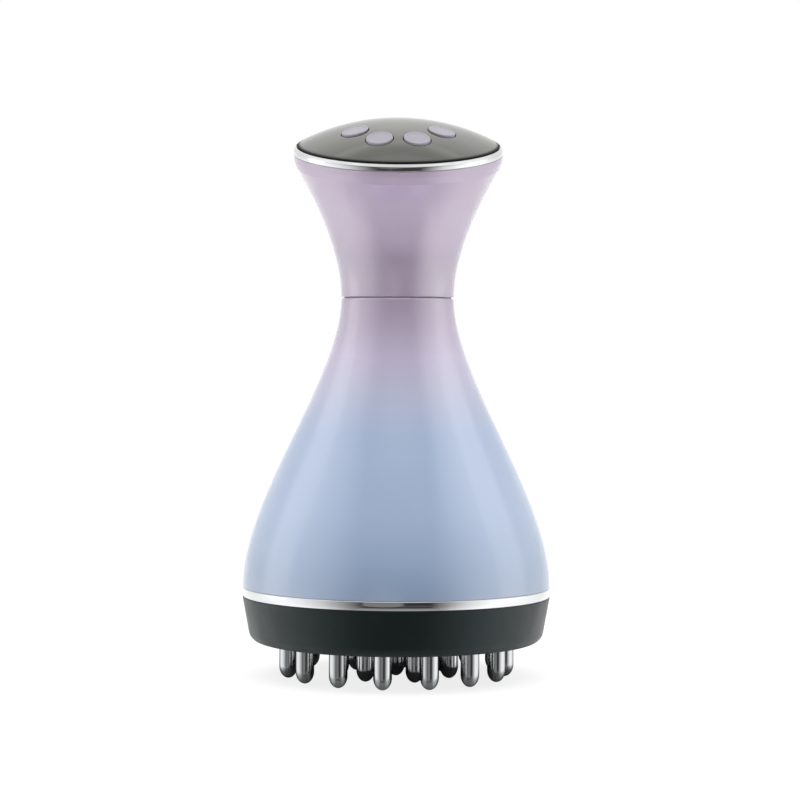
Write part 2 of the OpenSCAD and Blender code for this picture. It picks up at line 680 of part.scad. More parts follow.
// Domed panel with guides for the buttons and bosses for the control board
module control_panel() {
    rim = asin((panel_r - panel_rim_r) / (dome_r - panel_rim_r));
    rim_z = (dome_r - panel_rim_r) * cos(rim) - (dome_r - crown_h);
    inner_r = dome_r - panel_wall;
    inner_edge = asin((panel_r - panel_wall) / inner_r);
    color("#3c3f42") in_head() difference() {
        union() {
            rotate_extrude() polygon(concat(
                arc([0, crown_h - dome_r], dome_r, 90, 90 - rim, 20),
                arc([panel_r - panel_rim_r, rim_z], panel_rim_r, 90 - rim, 0, 5),
                [[panel_r, ring_ledge_z], [panel_r - panel_wall, ring_ledge_z]],
                arc([0, crown_h - dome_r], inner_r, 90 - inner_edge, 90, 20)));
            intersection() {
                for (i = [0:3]) translate([button_place(i)[0], button_place(i)[1], guide_z])
                    cylinder(r = hole_r + guide_wall, h = crown_h);
                translate([0, 0, crown_h - dome_r]) sphere(r = dome_r - panel_wall / 2);
            }
            intersection() {
                ring_of(board_screw_ring, board_screw_angles) translate([0, 0, board_top_z])
                    cylinder(r = small_boss_r, h = crown_h - board_top_z);
                translate([0, 0, crown_h - dome_r]) sphere(r = dome_r - panel_wall / 2);
            }
        }
        for (i = [0:3]) translate([button_place(i)[0], button_place(i)[1], guide_z - 1])
            cylinder(r = hole_r, h = crown_h + 4);
        ring_of(board_screw_ring, board_screw_angles)
            translate([0, 0, board_bottom_z - 1]) cylinder(d = small_screw_d, h = small_screw_len + 1);
    }
}

// Round key whose face follows the dome, with a lip under its guide
module button(i) {
    place = button_place(i);
    color("#b3aeb9") in_head() union() {
        difference() {
            intersection() {
                translate([place[0], place[1], guide_z - eps]) cylinder(r = button_r, h = crown_h + 4);
                translate([0, 0, crown_h - dome_r]) sphere(r = dome_r + button_raise);
            }
            difference() {
                translate([place[0], place[1], 0]) cylinder(r = button_r - 0.6, h = crown_h + 4);
                translate([0, 0, crown_h - dome_r]) sphere(r = dome_r + button_raise - button_dish);
            }
        }
        translate([place[0], place[1], flange_z]) cylinder(r = hole_r + button_lip, h = flange_t);
    }
}
module button_far_left() { button(0); }
module button_near_left() { button(1); }
module button_near_right() { button(2); }
module button_far_right() { button(3); }

module tact_switches() {
    color("black") in_head() for (i = [0:3])
        translate([button_place(i)[0], button_place(i)[1], board_top_z]) {
            translate([-switch_w / 2, -switch_w / 2, 0]) cube([switch_w, switch_w, switch_h]);
            cylinder(d = plunger_d, h = switch_h + plunger_h);
        }
}

// Round board under the panel, with the plug of the cable on its underside
module control_board() {
    color("darkgreen") in_head() difference() {
        union() {
            translate([0, 0, board_bottom_z]) cylinder(r = control_board_r, h = board_t);
            translate([-plug_size[0] / 2, plug_y - plug_size[1] / 2, board_bottom_z - plug_size[2]])
                cube([plug_size[0], plug_size[1], plug_size[2] + eps]);
        }
        ring_of(board_screw_ring, board_screw_angles)
            translate([0, 0, board_bottom_z - 1]) cylinder(d = small_screw_d, h = board_t + 2);
    }
}
module control_board_screws() {
    color("gray") in_head() ring_of(board_screw_ring, board_screw_angles)
        translate([0, 0, board_bottom_z]) small_screw();
}

// Motor: rubber boot, can with its nose down, end cap, shaft and half-round weight
module motor_boot() {
    color("black") translate([0, 0, shell_foot_z]) tube(cup_r, motor_d / 2, motor_len - end_cap_h - 1);
}
module motor_can() {
    color("silver") difference() {
        union() {
            translate([0, 0, shell_foot_z]) cylinder(d = motor_d, h = motor_len - end_cap_h);
            translate([0, 0, chassis_bottom_z]) cylinder(d = nose_d, h = chassis_plate + eps);
        }
        translate([0, 0, chassis_bottom_z - 1])
            cylinder(r = shaft_d / 2 + shaft_gap, h = chassis_plate + motor_len - end_cap_h - 1);
    }
}
module motor_end_cap() {
    color("ivory") translate([0, 0, motor_top_z - end_cap_h]) union() {
        cylinder(d = motor_d, h = end_cap_h);
        // Terminals, rooted in the round wall
        for (side = [-1, 1]) translate([side * terminal_x - 0.4, motor_d / 2 - 1, end_cap_h / 2 - 0.5])
            cube([0.8, terminal_out + 1, 1]);
    }
}
module motor_shaft() {
    color("gainsboro") translate([0, 0, weight_z])
        cylinder(d = shaft_d, h = shell_foot_z + motor_len - end_cap_h - 4 - weight_z);
}
module eccentric_weight() {
    color("goldenrod") translate([0, 0, weight_z]) difference() {
        union() {
            cylinder(r = shaft_d / 2 + 2, h = weight_t);
            intersection() {
                cylinder(r = weight_r, h = weight_t);
                translate([-weight_r, -weight_r, 0]) cube([2 * weight_r, weight_r, weight_t]);
            }
        }
        translate([0, 0, -1]) cylinder(d = shaft_d, h = weight_t + 2);
    }
}

// Cradle: foot over the motor and a trough, open to the rear, for the cell
module battery_cradle() {
    color("#3a3f42") difference() {
        union() {
            translate([0, 0, motor_top_z]) cylinder(r = cup_outer_r, h = cradle_foot);
            ring_of(cradle_screw_ring, cradle_screw_angles)
                translate([0, 0, motor_top_z]) cylinder(r = small_boss_r, h = cradle_foot);
            translate([0, 0, motor_top_z]) cylinder(r = cradle_outer_r, h = cradle_top_z - motor_top_z);
        }
        translate([0, 0, cell_z - tab_t]) cylinder(r = cradle_r, h = cell_len + 2 * tab_t);
        translate([-through / 2, cell_r * 0.4, cell_z - tab_t])
            cube([through, through, cell_len + 2 * tab_t]);
        ring_of(cradle_screw_ring, cradle_screw_angles)
            translate([0, 0, motor_top_z - 1]) cylinder(d = small_screw_d, h = cradle_foot + 2);
        // Notch for the leads
        translate([-lead_slot_w / 2, cell_r + 2, motor_top_z - 1])
            cube([lead_slot_w, through, cradle_foot + 2]);
    }
}
module battery_cradle_screws() {
    color("gray") ring_of(cradle_screw_ring, cradle_screw_angles)
        translate([0, 0, motor_top_z + cradle_foot]) mirror([0, 0, 1]) small_screw();
}
module battery_cell() {
    color("seagreen") translate([0, 0, cell_z]) cylinder(d = cell_d, h = cell_len);
}
module battery_tabs() {
    color("silver") for (z = [cell_z - tab_t, cell_top_z]) translate([0, 0, z]) {
        cylinder(r = cell_r * 0.6, h = tab_t);
        translate([-2, 0, 0]) cube([4, cell_r + tab_out, tab_t]);
    }
}

// Main board on four posts of the chassis, with the charging socket at its rear
module main_board_places() {
    for (side = [-1, 1])
        for (y = [main_board_front + screw_inset, main_board_rear - screw_inset])
            translate([side * (main_board_w / 2 - screw_inset), y, 0]) children();
}
module main_board() {
    color("darkgreen") difference() {
        translate([-main_board_w / 2, main_board_front, main_board_z])
            cube([main_board_w, main_board_rear - main_board_front, board_t]);
        main_board_places() translate([0, 0, main_board_z - 1]) cylinder(d = small_screw_d, h = board_t + 2);
    }
}
module main_board_screws() {
    color("gray") main_board_places() translate([0, 0, main_board_top_z]) mirror([0, 0, 1]) small_screw();
}
module charge_socket() {
    color("silver") translate([-socket_w / 2, socket_rear - socket_depth, main_board_top_z]) difference() {
        cube([socket_w, socket_depth, socket_h]);
        translate([socket_sheet, socket_back_t, socket_sheet])
            cube([socket_w - 2 * socket_sheet, through, socket_h - 2 * socket_sheet]);
    }
}

// Wires, each as a route through the middle of the space that it has
function board_end(x, y) =
    [for (h = [lead_bend, lead_bend / 3, solder_gap]) [x, y, main_board_top_z + h]];
module head_cable() {
    plug = head_point([0, plug_y, board_bottom_z - plug_size[2] - solder_gap]);
    color("white") swept_wire([
        plug,
        plug + [0, 0.6, -cable_bend / 2],
        [0, wire_rise_y - 1, cradle_top_z + cable_bend],
        [0, wire_rise_y, waist_z + sleeve_grip],
        [0, wire_rise_y, waist_z - sleeve_grip],
        [0, wire_rise_y, motor_top_z + 22],
        [0, wire_rise_y + 2, motor_top_z + cable_bend],
        each board_end(0, wire_board_y + 3)
    ], cable_d);
}
module motor_leads() {
    terminal_y = motor_d / 2 + terminal_out;
    terminal_z = motor_top_z - end_cap_h / 2;
    color("red") for (side = [-1, 1]) swept_wire([
        [side * terminal_x, terminal_y + lead_d / 2 + solder_gap, terminal_z + 0.4],
        [side * terminal_x, terminal_y + 2, terminal_z - 4],
        each board_end(side * 4, wire_board_y)
    ], lead_d);
}
module battery_leads() {
    tab_y = cell_r + tab_out + lead_d / 2;
    color("orange") {
        swept_wire([
            [2.4, tab_y + 0.5, cell_z + 0.5],
            [3.3, tab_y + 2, cell_z],
            [3.5, cup_outer_r + 2, motor_top_z - lead_bend],
            each board_end(9, wire_board_y + 3)
        ], lead_d);
        swept_wire([
            [-1.9, tab_y, cell_top_z],
            [-1.9, lead_rise_y, cell_top_z - lead_bend],
            [-1.9, lead_rise_y, waist_z - 2 * cable_bend],
            [-2.4, lead_rise_y + 0.7, motor_top_z + cable_bend],
            [-3.4, lead_rise_y + 3, motor_top_z],
            [-3.5, cup_outer_r + 2, motor_top_z - lead_bend],
            each board_end(-9, wire_board_y + 3)
        ], lead_d);
    }
}

lower_shell();
upper_shell();
neck_sleeve();
head_trim_ring();
control_panel();
button_far_left();
button_near_left();
button_near_right();
button_far_right();
tact_switches();
control_board();
control_board_screws();
lower_trim_band();
base_cover();
base_gasket();
base_screws();
outer_massage_pins();
inner_massage_pins();
centre_massage_pin();
contact_board();
contact_board_screws();
chassis();
chassis_screws();
motor_boot();
motor_can();
motor_end_cap();
motor_shaft();
eccentric_weight();
battery_cradle();
battery_cradle_screws();
battery_cell();
battery_tabs();
main_board();
main_board_screws();
charge_socket();
head_cable();
motor_leads();
battery_leads();
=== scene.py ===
"""Looks of a cordless scalp massage brush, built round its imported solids.

The shells, the control panel, the buttons, the trims, the base and the pins are
smooth surfaces worked out here. What lies inside keeps its solid and gets a finish.
Shapes are worked out in millimetres, in the frame of the solids, and turned to metres last.
"""

import json
import math

import bmesh
import bpy
import numpy as np
from mathutils import Matrix, Vector
from mathutils.geometry import delaunay_2d_cdt


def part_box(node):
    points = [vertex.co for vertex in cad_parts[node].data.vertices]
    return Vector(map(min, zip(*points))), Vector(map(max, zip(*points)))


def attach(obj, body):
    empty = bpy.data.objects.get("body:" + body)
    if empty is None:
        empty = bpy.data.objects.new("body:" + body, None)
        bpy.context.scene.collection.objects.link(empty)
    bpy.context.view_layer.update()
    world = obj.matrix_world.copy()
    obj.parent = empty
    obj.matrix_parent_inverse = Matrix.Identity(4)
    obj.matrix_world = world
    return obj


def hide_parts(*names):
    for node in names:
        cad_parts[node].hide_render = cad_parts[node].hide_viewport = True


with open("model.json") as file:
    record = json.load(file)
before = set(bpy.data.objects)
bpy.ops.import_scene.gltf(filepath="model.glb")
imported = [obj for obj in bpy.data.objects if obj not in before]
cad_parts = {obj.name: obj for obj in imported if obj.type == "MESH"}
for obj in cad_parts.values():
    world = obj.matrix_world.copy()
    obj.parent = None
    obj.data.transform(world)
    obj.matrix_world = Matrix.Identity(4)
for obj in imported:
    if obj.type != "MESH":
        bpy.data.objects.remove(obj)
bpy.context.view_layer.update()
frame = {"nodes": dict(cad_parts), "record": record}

MM = 0.001


def low(node):
    """Lowest height of a solid, in millimetres."""
    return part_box(node)[0].z / MM


def high(node):
    """Greatest height of a solid, in millimetres."""
    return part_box(node)[1].z / MM


def half_width(node):
    """Half the width of a solid across the brush, in millimetres."""
    corner_low, corner_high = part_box(node)
    return (corner_high.x - corner_low.x) / 2 / MM


# Sizes of the body, in mm. A pull is how far the Bezier outline's handle reaches from that end
SHELL_WALL = 2.0
FOOT_R = half_width("lower_shell")
FOOT_Z = low("lower_shell")
WAIST_R = 13.65
WAIST_Z = high("lower_shell")
FOOT_PULL = 21.5
WAIST_PULL = 19.1
SEAM_GAP = 0.3
SLEEVE_GRIP = 7.0
PORT_WIDTH = 9.6
PORT_HEIGHT = 3.8
PORT_EDGE_R = 0.35
PORT_Z = (low("charge_socket") + high("charge_socket")) / 2

# Sizes of the flare and the head, in mm. Over the last CREASE_RUN of its length the flare widens by
# CREASE_SLOPE for each mm, up to the crease, where the head's upright band begins
FLARE_FOOT_Z = WAIST_Z + SEAM_GAP
FLARE_LEN = 31.9
FLARE_PULL = 11.5
CREASE_RUN = 7.3
CREASE_SLOPE = 0.53
HEAD_TILT = math.radians(14.5)
RING_R = half_width("head_trim_ring")
RING_H = 1.6
RING_BEVEL = 0.65
RING_TOP_T = 0.85
RING_FOOT = 1.8
CREASE_R = RING_R - 0.7
RING_SEAT_R = CREASE_R - 0.75
RING_SEAT_GAP = 0.03
BAND_H = 3.2
HEAD_H = RING_H + BAND_H

# Sizes of the panel and the buttons, in mm in the frame of the head, whose zero is the ring's top.
# The dome would meet the panel's side at PANEL_EDGE_H, but for its rounded rim. Outside UNDERSIDE_R
# its underside draws in to the skirt. A button's wall ends at GUIDE_Z, and its flange lies below
PANEL_GAP = 0.15
PANEL_R = RING_R - RING_TOP_T - PANEL_GAP
PANEL_WALL = 1.8
PANEL_SKIRT = 1.1
PANEL_RIM_R = 1.2
PANEL_EDGE_H = 0.3
UNDERSIDE_R = 18
CROWN_H = 6.3
DOME_RISE = CROWN_H - PANEL_EDGE_H
DOME_R = (PANEL_R ** 2 + DOME_RISE ** 2) / (2 * DOME_RISE)
BUTTON_R = 3.2
HOLE_R = BUTTON_R + 0.18
HOLE_EDGE_R = 0.12
BUTTON_RAISE = 0.4
BUTTON_DISH = 0.17
BUTTON_LIP = 0.6
BUTTON_RIM = 0.9
BUTTON_EDGE_R = 0.3
GUIDE_Z = -0.6
FLANGE_T = 0.8
BUTTON_ARC_R = 10.8
BUTTON_ARC_FRONT = 4.2
BUTTON_STEP = math.radians(48.4)

# Sizes of the base and the pins, in mm. A pin's land fills its hole in the base, below the collar
BASE_BOTTOM_Z = low("base_cover")
BASE_TOP_Z = high("base_cover")
BASE_TOP_R = half_width("base_cover")
BASE_TAPER = 2.0
BASE_CORNER_R = 2.8
BASE_FLOOR = 2.6
BASE_WALL = 2.2
BAND_R = half_width("lower_trim_band")
BAND_T = 2.6
BAND_CROWN = 0.35
BAND_CROWNED_SHARE = 0.65
BAND_LIP = 0.17
PIN_R = 2.2
PIN_LAND_R = PIN_R + 0.15
PIN_TIP_H = 2.9
PIN_POST_R = 0.9
PIN_HOLE_EDGE_R = 0.15
OUTER_RING_R = BASE_TOP_R - BASE_TAPER - 8.9
INNER_RING_R = OUTER_RING_R - 12.8
OUTER_COUNT = 15
INNER_COUNT = 7
OUTER_TURN = math.radians(-6.6)
INNER_TURN = math.radians(19.4)
SCREW_RING_R = (OUTER_RING_R + INNER_RING_R) / 2
RECESS_R = 2.4
RECESS_H = 1.6
SCREW_HOLE_R = 1.3

# How finely the surfaces are drawn: points round them, rows, and steps between points in mm
SIDES = 240
HOLE_SIDES = 64
PIN_SIDES = 48
SKIN_ROWS = 96
FLARE_ROWS = 90
PANEL_STEP = 0.8
BASE_STEP = 1.4
# Half the window that the port's surroundings take up: its height in mm and its count of columns
WINDOW_REACH, WINDOW_COLUMNS = 5, 12
# Points closer than this become one: in a mesh in metres, in a flat filling in mm
MERGE_REACH, DELAUNAY_REACH = 2e-7, 1e-7


def circle(count, start=0.0):
    """Angles of an even ring of points."""
    return start + np.arange(count) * 2 * math.pi / count


def on_ring(radius, angle):
    """Point on a circle, with the angle counted from the front towards the right side."""
    return np.array([radius * math.sin(angle), -radius * math.cos(angle)])


def bezier(p0, p1, p2, p3, t):
    """Cubic Bezier curve: p0 (1-t)^3 + 3 p1 (1-t)^2 t + 3 p2 (1-t) t^2 + p3 t^3."""
    t = np.asarray(t)[:, None]
    p0, p1, p2, p3 = (np.array(p, float) for p in (p0, p1, p2, p3))
    return p0 * (1 - t) ** 3 + 3 * p1 * (1 - t) ** 2 * t + 3 * p2 * (1 - t) * t ** 2 + p3 * t ** 3


def rounded(corners, steps=5, guard=0.12):
    """Outline through corners (r, z, radius), each replaced by an arc that touches both sides.

    The arc starts radius * tan(turn / 2) before the corner, and points stand close to it
    on the straight sides, so that smooth shading leaves those sides flat.
    """
    corners = [np.array(c, float) for c in corners]
    outline = []
    for before, corner, after in zip([corners[-1]] + corners[:-1], corners, corners[1:] + [corners[0]]):
        here, radius = corner[:2], corner[2]
        way_in = (here - before[:2]) / np.linalg.norm(here - before[:2])
        way_out = (after[:2] - here) / np.linalg.norm(after[:2] - here)
        turn = math.acos(np.clip(way_in @ way_out, -1, 1))
        if radius == 0 or turn < 1e-3:
            outline.append(here[None])
            continue
        reach = radius * math.tan(turn / 2)
        side = way_out - way_in * (way_in @ way_out)
        side /= np.linalg.norm(side)
        centre = here - way_in * reach + side * radius
        angles = np.linspace(0, turn, steps + 1)[:, None]
        arc = centre - side * radius * np.cos(angles) + way_in * radius * np.sin(angles)
        outline += [arc[:1] - way_in * guard, arc, arc[-1:] + way_out * guard]
    return np.vstack(outline)


def revolve(outline, sides, around=(0.0, 0.0)):
    """Surface of revolution: (r, z) goes to (x + r sin a, y - r cos a, z) for each angle a."""
    angles = circle(sides)
    r, z = outline[:, :1], outline[:, 1:]
    return np.stack([around[0] + r * np.sin(angles), around[1] - r * np.cos(angles), z + 0 * angles], 2)


def grid_faces(rows, columns, wrap_rows=False):
    """Four-cornered faces of a grid whose columns close on themselves."""
    row = np.arange(rows if wrap_rows else rows - 1)[:, None]
    column = np.arange(columns)[None]
    next_row, next_column = (row + 1) % rows, (column + 1) % columns
    corners = (row * columns + column, row * columns + next_column,
               next_row * columns + next_column, next_row * columns + column)
    return np.stack(corners, 2)


def inside(loop, points):
    """Which points lie inside a closed loop: a ray to the right crosses it an odd number of times."""
    a, b = loop[None], np.roll(loop, -1, 0)[None]
    x, y = points[:, :1], points[:, 1:]
    spans = (a[..., 1] > y) != (b[..., 1] > y)
    run = np.where(spans, b[..., 1] - a[..., 1], 1)
    crossing = a[..., 0] + (y - a[..., 1]) / run * (b[..., 0] - a[..., 0])
    return (spans & (crossing > x)).sum(1) % 2 == 1


def fill(outer, holes, free):
    """Flat Delaunay triangles between an outer loop and the hole loops, with free points between."""
    loops = [outer] + holes
    points = np.vstack(loops + [free])
    edges, start = [], 0
    for loop in loops:
        index = start + np.arange(len(loop))
        edges.append(np.stack([index, np.roll(index, -1)], 1))
        start += len(loop)
    made = delaunay_2d_cdt(points.tolist(), np.vstack(edges).tolist(), [], 0, DELAUNAY_REACH)
    points, faces = np.array(made[0]), np.array(made[2])
    middles = points[faces].mean(1)
    keep = inside(outer, middles)
    for loop in holes:
        keep &= ~inside(loop, middles)
    return points, faces[keep]


def disc_points(radius, spacing, avoid):
    """Points on even rings of a disc, away from the circles (x, y, radius) in avoid."""
    rings = []
    for ring_r in np.arange(spacing / 2, radius - spacing / 2, spacing):
        angles = circle(max(6, round(2 * math.pi * ring_r / spacing)), ring_r)
        rings.append(np.stack([ring_r * np.sin(angles), ring_r * np.cos(angles)], 1))
    points = np.vstack(rings)
    for x, y, clear in avoid:
        points = points[np.hypot(points[:, 0] - x, points[:, 1] - y) > clear]
    return points


def in_head(points):
    """Turns points from the frame of the head to that of the brush: a tilt to the front, then a shift."""
    crease_y = -FLARE_LEN * HEAD_TILT / 3
    crease_z = FLARE_FOOT_Z + FLARE_LEN * (1 - HEAD_TILT ** 2 / 10)
    x, y, z = points[..., 0], points[..., 1], points[..., 2]
    lean, rise = math.sin(HEAD_TILT), math.cos(HEAD_TILT)
    return np.stack([x, crease_y - HEAD_H * lean + y * rise - z * lean,
                     crease_z + HEAD_H * rise + y * lean + z * rise], -1)


def piece(name, patches, body, slot, replaced):
    """Joins patches (points, faces) into one closed mesh, in metres, that rides on a body.

    Points of neighbouring patches that fall together are merged.
    """
    points, faces, start = [], [], 0
    for patch_points, patch_faces in patches:
        points.append(patch_points.reshape(-1, 3) * MM)
        faces += (patch_faces.reshape(-1, patch_faces.shape[-1]) + start).tolist()
        start += len(points[-1])
    data = bpy.data.meshes.new(name)
    data.from_pydata(np.vstack(points).tolist(), [], faces)
    mesh = bmesh.new()
    mesh.from_mesh(data)
    bmesh.ops.remove_doubles(mesh, verts=mesh.verts, dist=MERGE_REACH)
    bmesh.ops.recalc_face_normals(mesh, faces=mesh.faces)
    mesh.to_mesh(data)
    mesh.free()
    data.shade_smooth()
    made = bpy.data.objects.new(name, data)
    bpy.context.scene.collection.objects.link(made)
    data.materials.append(finishes[slot])
    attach(made, body)
    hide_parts(*replaced)


def colour(code):
    """Turns an sRGB hex colour into linear red, green, blue and alpha."""
    parts = np.array([int(code[i:i + 2], 16) for i in (1, 3, 5)]) / 255
    return (*np.where(parts <= 0.04045, parts / 12.92, ((parts + 0.055) / 1.055) ** 2.4), 1.0)


def feed(node, inputs):
    """Feeds a node's inputs, by name or number: a socket is linked, and anything else is a value."""
    for key, value in inputs.items():
        if isinstance(value, bpy.types.NodeSocket):
            node.id_data.links.new(value, node.inputs[key])
        else:
            node.inputs[key].default_value = value


def add(tree, kind, inputs=None, stops=None, **settings):
    """Adds a shader node with its settings and inputs, and a ramp's stops (position, colour)."""
    node = tree.nodes.new("ShaderNode" + kind)
    for key, value in settings.items():
        setattr(node, key, value)
    if stops:
        elements = node.color_ramp.elements
        while len(elements) < len(stops):
            elements.new(0.5)
        for element, (position, tint) in zip(elements, stops):
            element.position = position
            element.color = tint
    feed(node, inputs or {})
    return node


def new_material(name):
    """A material with its own node tree, its main shader and the piece's own coordinates."""
    material = bpy.data.materials.new(name)
    material.use_nodes = True
    tree = material.node_tree
    place = add(tree, "TexCoord").outputs["Object"]
    return material, tree, tree.nodes["Principled BSDF"], place


def raise_grains(tree, shader, place, size, depth, detail=1.0):
    """Covers a surface in soft grains, about size across and depth deep, in millimetres."""
    grains = add(tree, "TexNoise", {"Vector": place, "Scale": 1 / (size * MM), "Detail": detail})
    relief = add(tree, "Bump", {"Height": grains.outputs["Fac"], "Strength": 1.0, "Distance": depth * MM})
    feed(shader, {"Normal": relief.outputs["Normal"]})


# Nearly all of a noise lies between these two values
NOISE_LOW, NOISE_HIGH = 0.35, 0.65


# Sizes of the paint's mist, of the way it drifts, of its smears and of its orange peel, in mm
MIST_SIZE, MIST_DRIFT, SMEAR_SIZE, PEEL_SIZE, PEEL_DEPTH = 20.0, 3.0, 14.0, 0.9, 0.0015
# Mica flakes under the clear coat give the paint more gloss than a plain coat's index of 1.5
PEARL_INDEX = 2.3
PAINT_ROUGHNESS = (0.16, 0.19)
# The colours of the sprayed coats: (height over the ground in mm, colour). On the lower shell the darker
# stops near the foot are painted shade
LOWER_COATS_AND_FOOT_SHADE = [(23, "#8ca0bd"), (33, "#9bafcd"), (42, "#a2b5d4"), (61, "#a2b5d5"), (72, "#bbbcd6"),
               (79, "#c7bcd8"), (85, "#beb0c9"), (92, "#b3a4bb")]
UPPER_COATS = [(92, "#b2a3bb"), (99, "#ae9fb5"), (103, "#aa9bb3"), (107, "#b2a0b9"), (114, "#b4a4bc"),
               (119, "#b09db6")]


def sprayed_paint(name, coats):
    """Satin pearl paint sprayed on ABS. Coats are (height in mm, colour), from the foot up.

    The coat has faint orange peel, and the fade wanders a little, as spray does.
    """
    material, tree, shader, place = new_material(name)
    height = add(tree, "SeparateXYZ", {"Vector": place}).outputs["Z"]
    mist = add(tree, "TexNoise", {"Vector": place, "Scale": 1 / (MIST_SIZE * MM), "Detail": 1.0})
    drift = add(tree, "Math", {0: mist.outputs["Fac"], 1: MIST_DRIFT * MM, 2: height},
                operation="MULTIPLY_ADD")
    foot, top = coats[0][0], coats[-1][0]
    share = add(tree, "MapRange", {"Value": drift.outputs[0], "From Min": foot * MM, "From Max": top * MM})
    # The stops hold the paint's mauve to blue fade, and on the lower shell also painted shade darkening its
    # foot
    stops = [((level - foot) / (top - foot), colour(tint)) for level, tint in coats]
    fade = add(tree, "ValToRGB", {"Fac": share.outputs["Result"]}, stops)
    smear = add(tree, "TexNoise", {"Vector": place, "Scale": 1 / (SMEAR_SIZE * MM), "Detail": 4.0})
    least, most = PAINT_ROUGHNESS
    gloss = add(tree, "MapRange", {"Value": smear.outputs["Fac"], "From Min": NOISE_LOW,
                                   "From Max": NOISE_HIGH, "To Min": least, "To Max": most})
    feed(shader, {"Base Color": fade.outputs["Color"], "Roughness": gloss.outputs["Result"],
                  "IOR": PEARL_INDEX})
    raise_grains(tree, shader, place, PEEL_SIZE, PEEL_DEPTH)
    return material


# Size of the haze that handling leaves on chrome, in mm
HAZE_SIZE = 2.5


def chrome_plate(name, tint, edge, roughness, ripple, ripple_size):
    """Bright chrome plating on moulded ABS or turned metal, with edge as its tint at the sides; a dark edge
    tint is painted shade.

    Plating is almost a mirror. A slow ripple of the part under it breaks up long reflections.
    """
    material, tree, shader, place = new_material(name)
    haze = add(tree, "TexNoise", {"Vector": place, "Scale": 1 / (HAZE_SIZE * MM), "Detail": 3.0})
    gloss = add(tree, "MapRange", {"Value": haze.outputs["Fac"], "From Min": NOISE_LOW,
                                   "From Max": NOISE_HIGH, "To Min": roughness * 0.7,
                                   "To Max": roughness * 1.5})
    feed(shader, {"Base Color": colour(tint), "Specular Tint": colour(edge), "Metallic": 1.0,
                  "Roughness": gloss.outputs["Result"]})
    raise_grains(tree, shader, place, ripple_size, ripple)
    return material


# Size of the faint clouds in moulded plastic, in mm
CLOUD_SIZE = 6.0


def moulded_plastic(name, tint, shade, roughness, grain, depth, sheen="#ffffff"):
    """Plastic moulded in a textured tool: an even colour, with a fine grain of small pits.

    The grain is drawn coarser than it really is, so that it shows.
    """
    material, tree, shader, place = new_material(name)
    cloud = add(tree, "TexNoise", {"Vector": place, "Scale": 1 / (CLOUD_SIZE * MM), "Detail": 3.0})
    tone = add(tree, "Mix", {"Factor": cloud.outputs["Fac"], 6: colour(tint), 7: colour(shade)},
               data_type="RGBA")
    gloss = add(tree, "MapRange", {"Value": cloud.outputs["Fac"], "From Min": NOISE_LOW,
                                   "From Max": NOISE_HIGH, "To Min": roughness * 0.92,
                                   "To Max": roughness * 1.08})
    feed(shader, {"Base Color": tone.outputs[2], "Roughness": gloss.outputs["Result"], "IOR": 1.5,
                  "Specular Tint": colour(sheen)})
    raise_grains(tree, shader, place, grain, depth, 2.0)
    return material


# How far up the panel's rim the painted shade reaches over the trim ring, and half its fade, in mm
RIM_SHADE_H, RIM_SHADE_FADE = 0.55, 0.35
# Size and depth of the waves that polishing leaves, in mm
POLISH_SIZE, POLISH_DEPTH = 1.5, 0.0003


def lens_with_painted_rim_shade(name, tint, rim_shade, index):
    """Polished smoke-grey PMMA. Its rim is painted matt black, a painted shade that darkens the joint with
    the trim ring below.
    """
    material, tree, shader, place = new_material(name)
    axis = (0, -math.sin(HEAD_TILT), math.cos(HEAD_TILT))
    rise = add(tree, "VectorMath", {0: place, 1: axis}, operation="DOT_PRODUCT").outputs["Value"]
    ring_top = float(in_head(np.zeros(3)) @ np.array(axis))
    unshaded_share = add(tree, "MapRange", {"Value": rise, "From Min": (ring_top + RIM_SHADE_H - RIM_SHADE_FADE) * MM,
                                  "From Max": (ring_top + RIM_SHADE_H + RIM_SHADE_FADE) * MM},
               interpolation_type="SMOOTHSTEP").outputs["Result"]
    # Towards the rim the colour turns matt black: painted shade for the gap by the trim ring
    tone = add(tree, "Mix", {"Factor": unshaded_share, 6: colour(rim_shade), 7: colour(tint)}, data_type="RGBA")
    gloss = add(tree, "MapRange", {"Value": unshaded_share, "To Min": 0.7, "To Max": 0.08})
    shine = add(tree, "MapRange", {"Value": unshaded_share, "To Min": 0.05, "To Max": 0.5})
    feed(shader, {"Base Color": tone.outputs[2], "Roughness": gloss.outputs["Result"], "IOR": index,
                  "Specular IOR Level": shine.outputs["Result"], "Specular Tint": colour("#fffef6")})
    raise_grains(tree, shader, place, POLISH_SIZE, POLISH_DEPTH)
    return material


# How many times wider than high a turned groove's grains are, and its depth in mm
RING_FLATNESS, GROOVE_DEPTH = 12, 0.002


def turned_metal(name, tint, roughness, groove):
    """Turned or drawn metal: rings round its axis, worked out from the height.

    They are drawn coarser than they really are, so that they show.
    """
    material, tree, shader, place = new_material(name)
    flat = add(tree, "Mapping", {"Vector": place, "Scale": (1.0, 1.0, RING_FLATNESS)}).outputs[0]
    rings = add(tree, "TexNoise", {"Vector": flat, "Scale": 1 / (groove * RING_FLATNESS * MM), "Detail": 3.0})
    gloss = add(tree, "MapRange", {"Value": rings.outputs["Fac"], "From Min": NOISE_LOW,
                                   "From Max": NOISE_HIGH, "To Min": roughness * 0.7,
                                   "To Max": roughness * 1.4})
    relief = add(tree, "Bump", {"Height": rings.outputs["Fac"], "Strength": 1.0,
                                "Distance": GROOVE_DEPTH * MM})
    feed(shader, {"Base Color": colour(tint), "Metallic": 1.0, "Roughness": gloss.outputs["Result"],
                  "Normal": relief.outputs["Normal"]})
    return material


# Distance from track to track on a board, and their height, in mm
TRACK_STEP, TRACK_HEIGHT = 3.2, 0.03


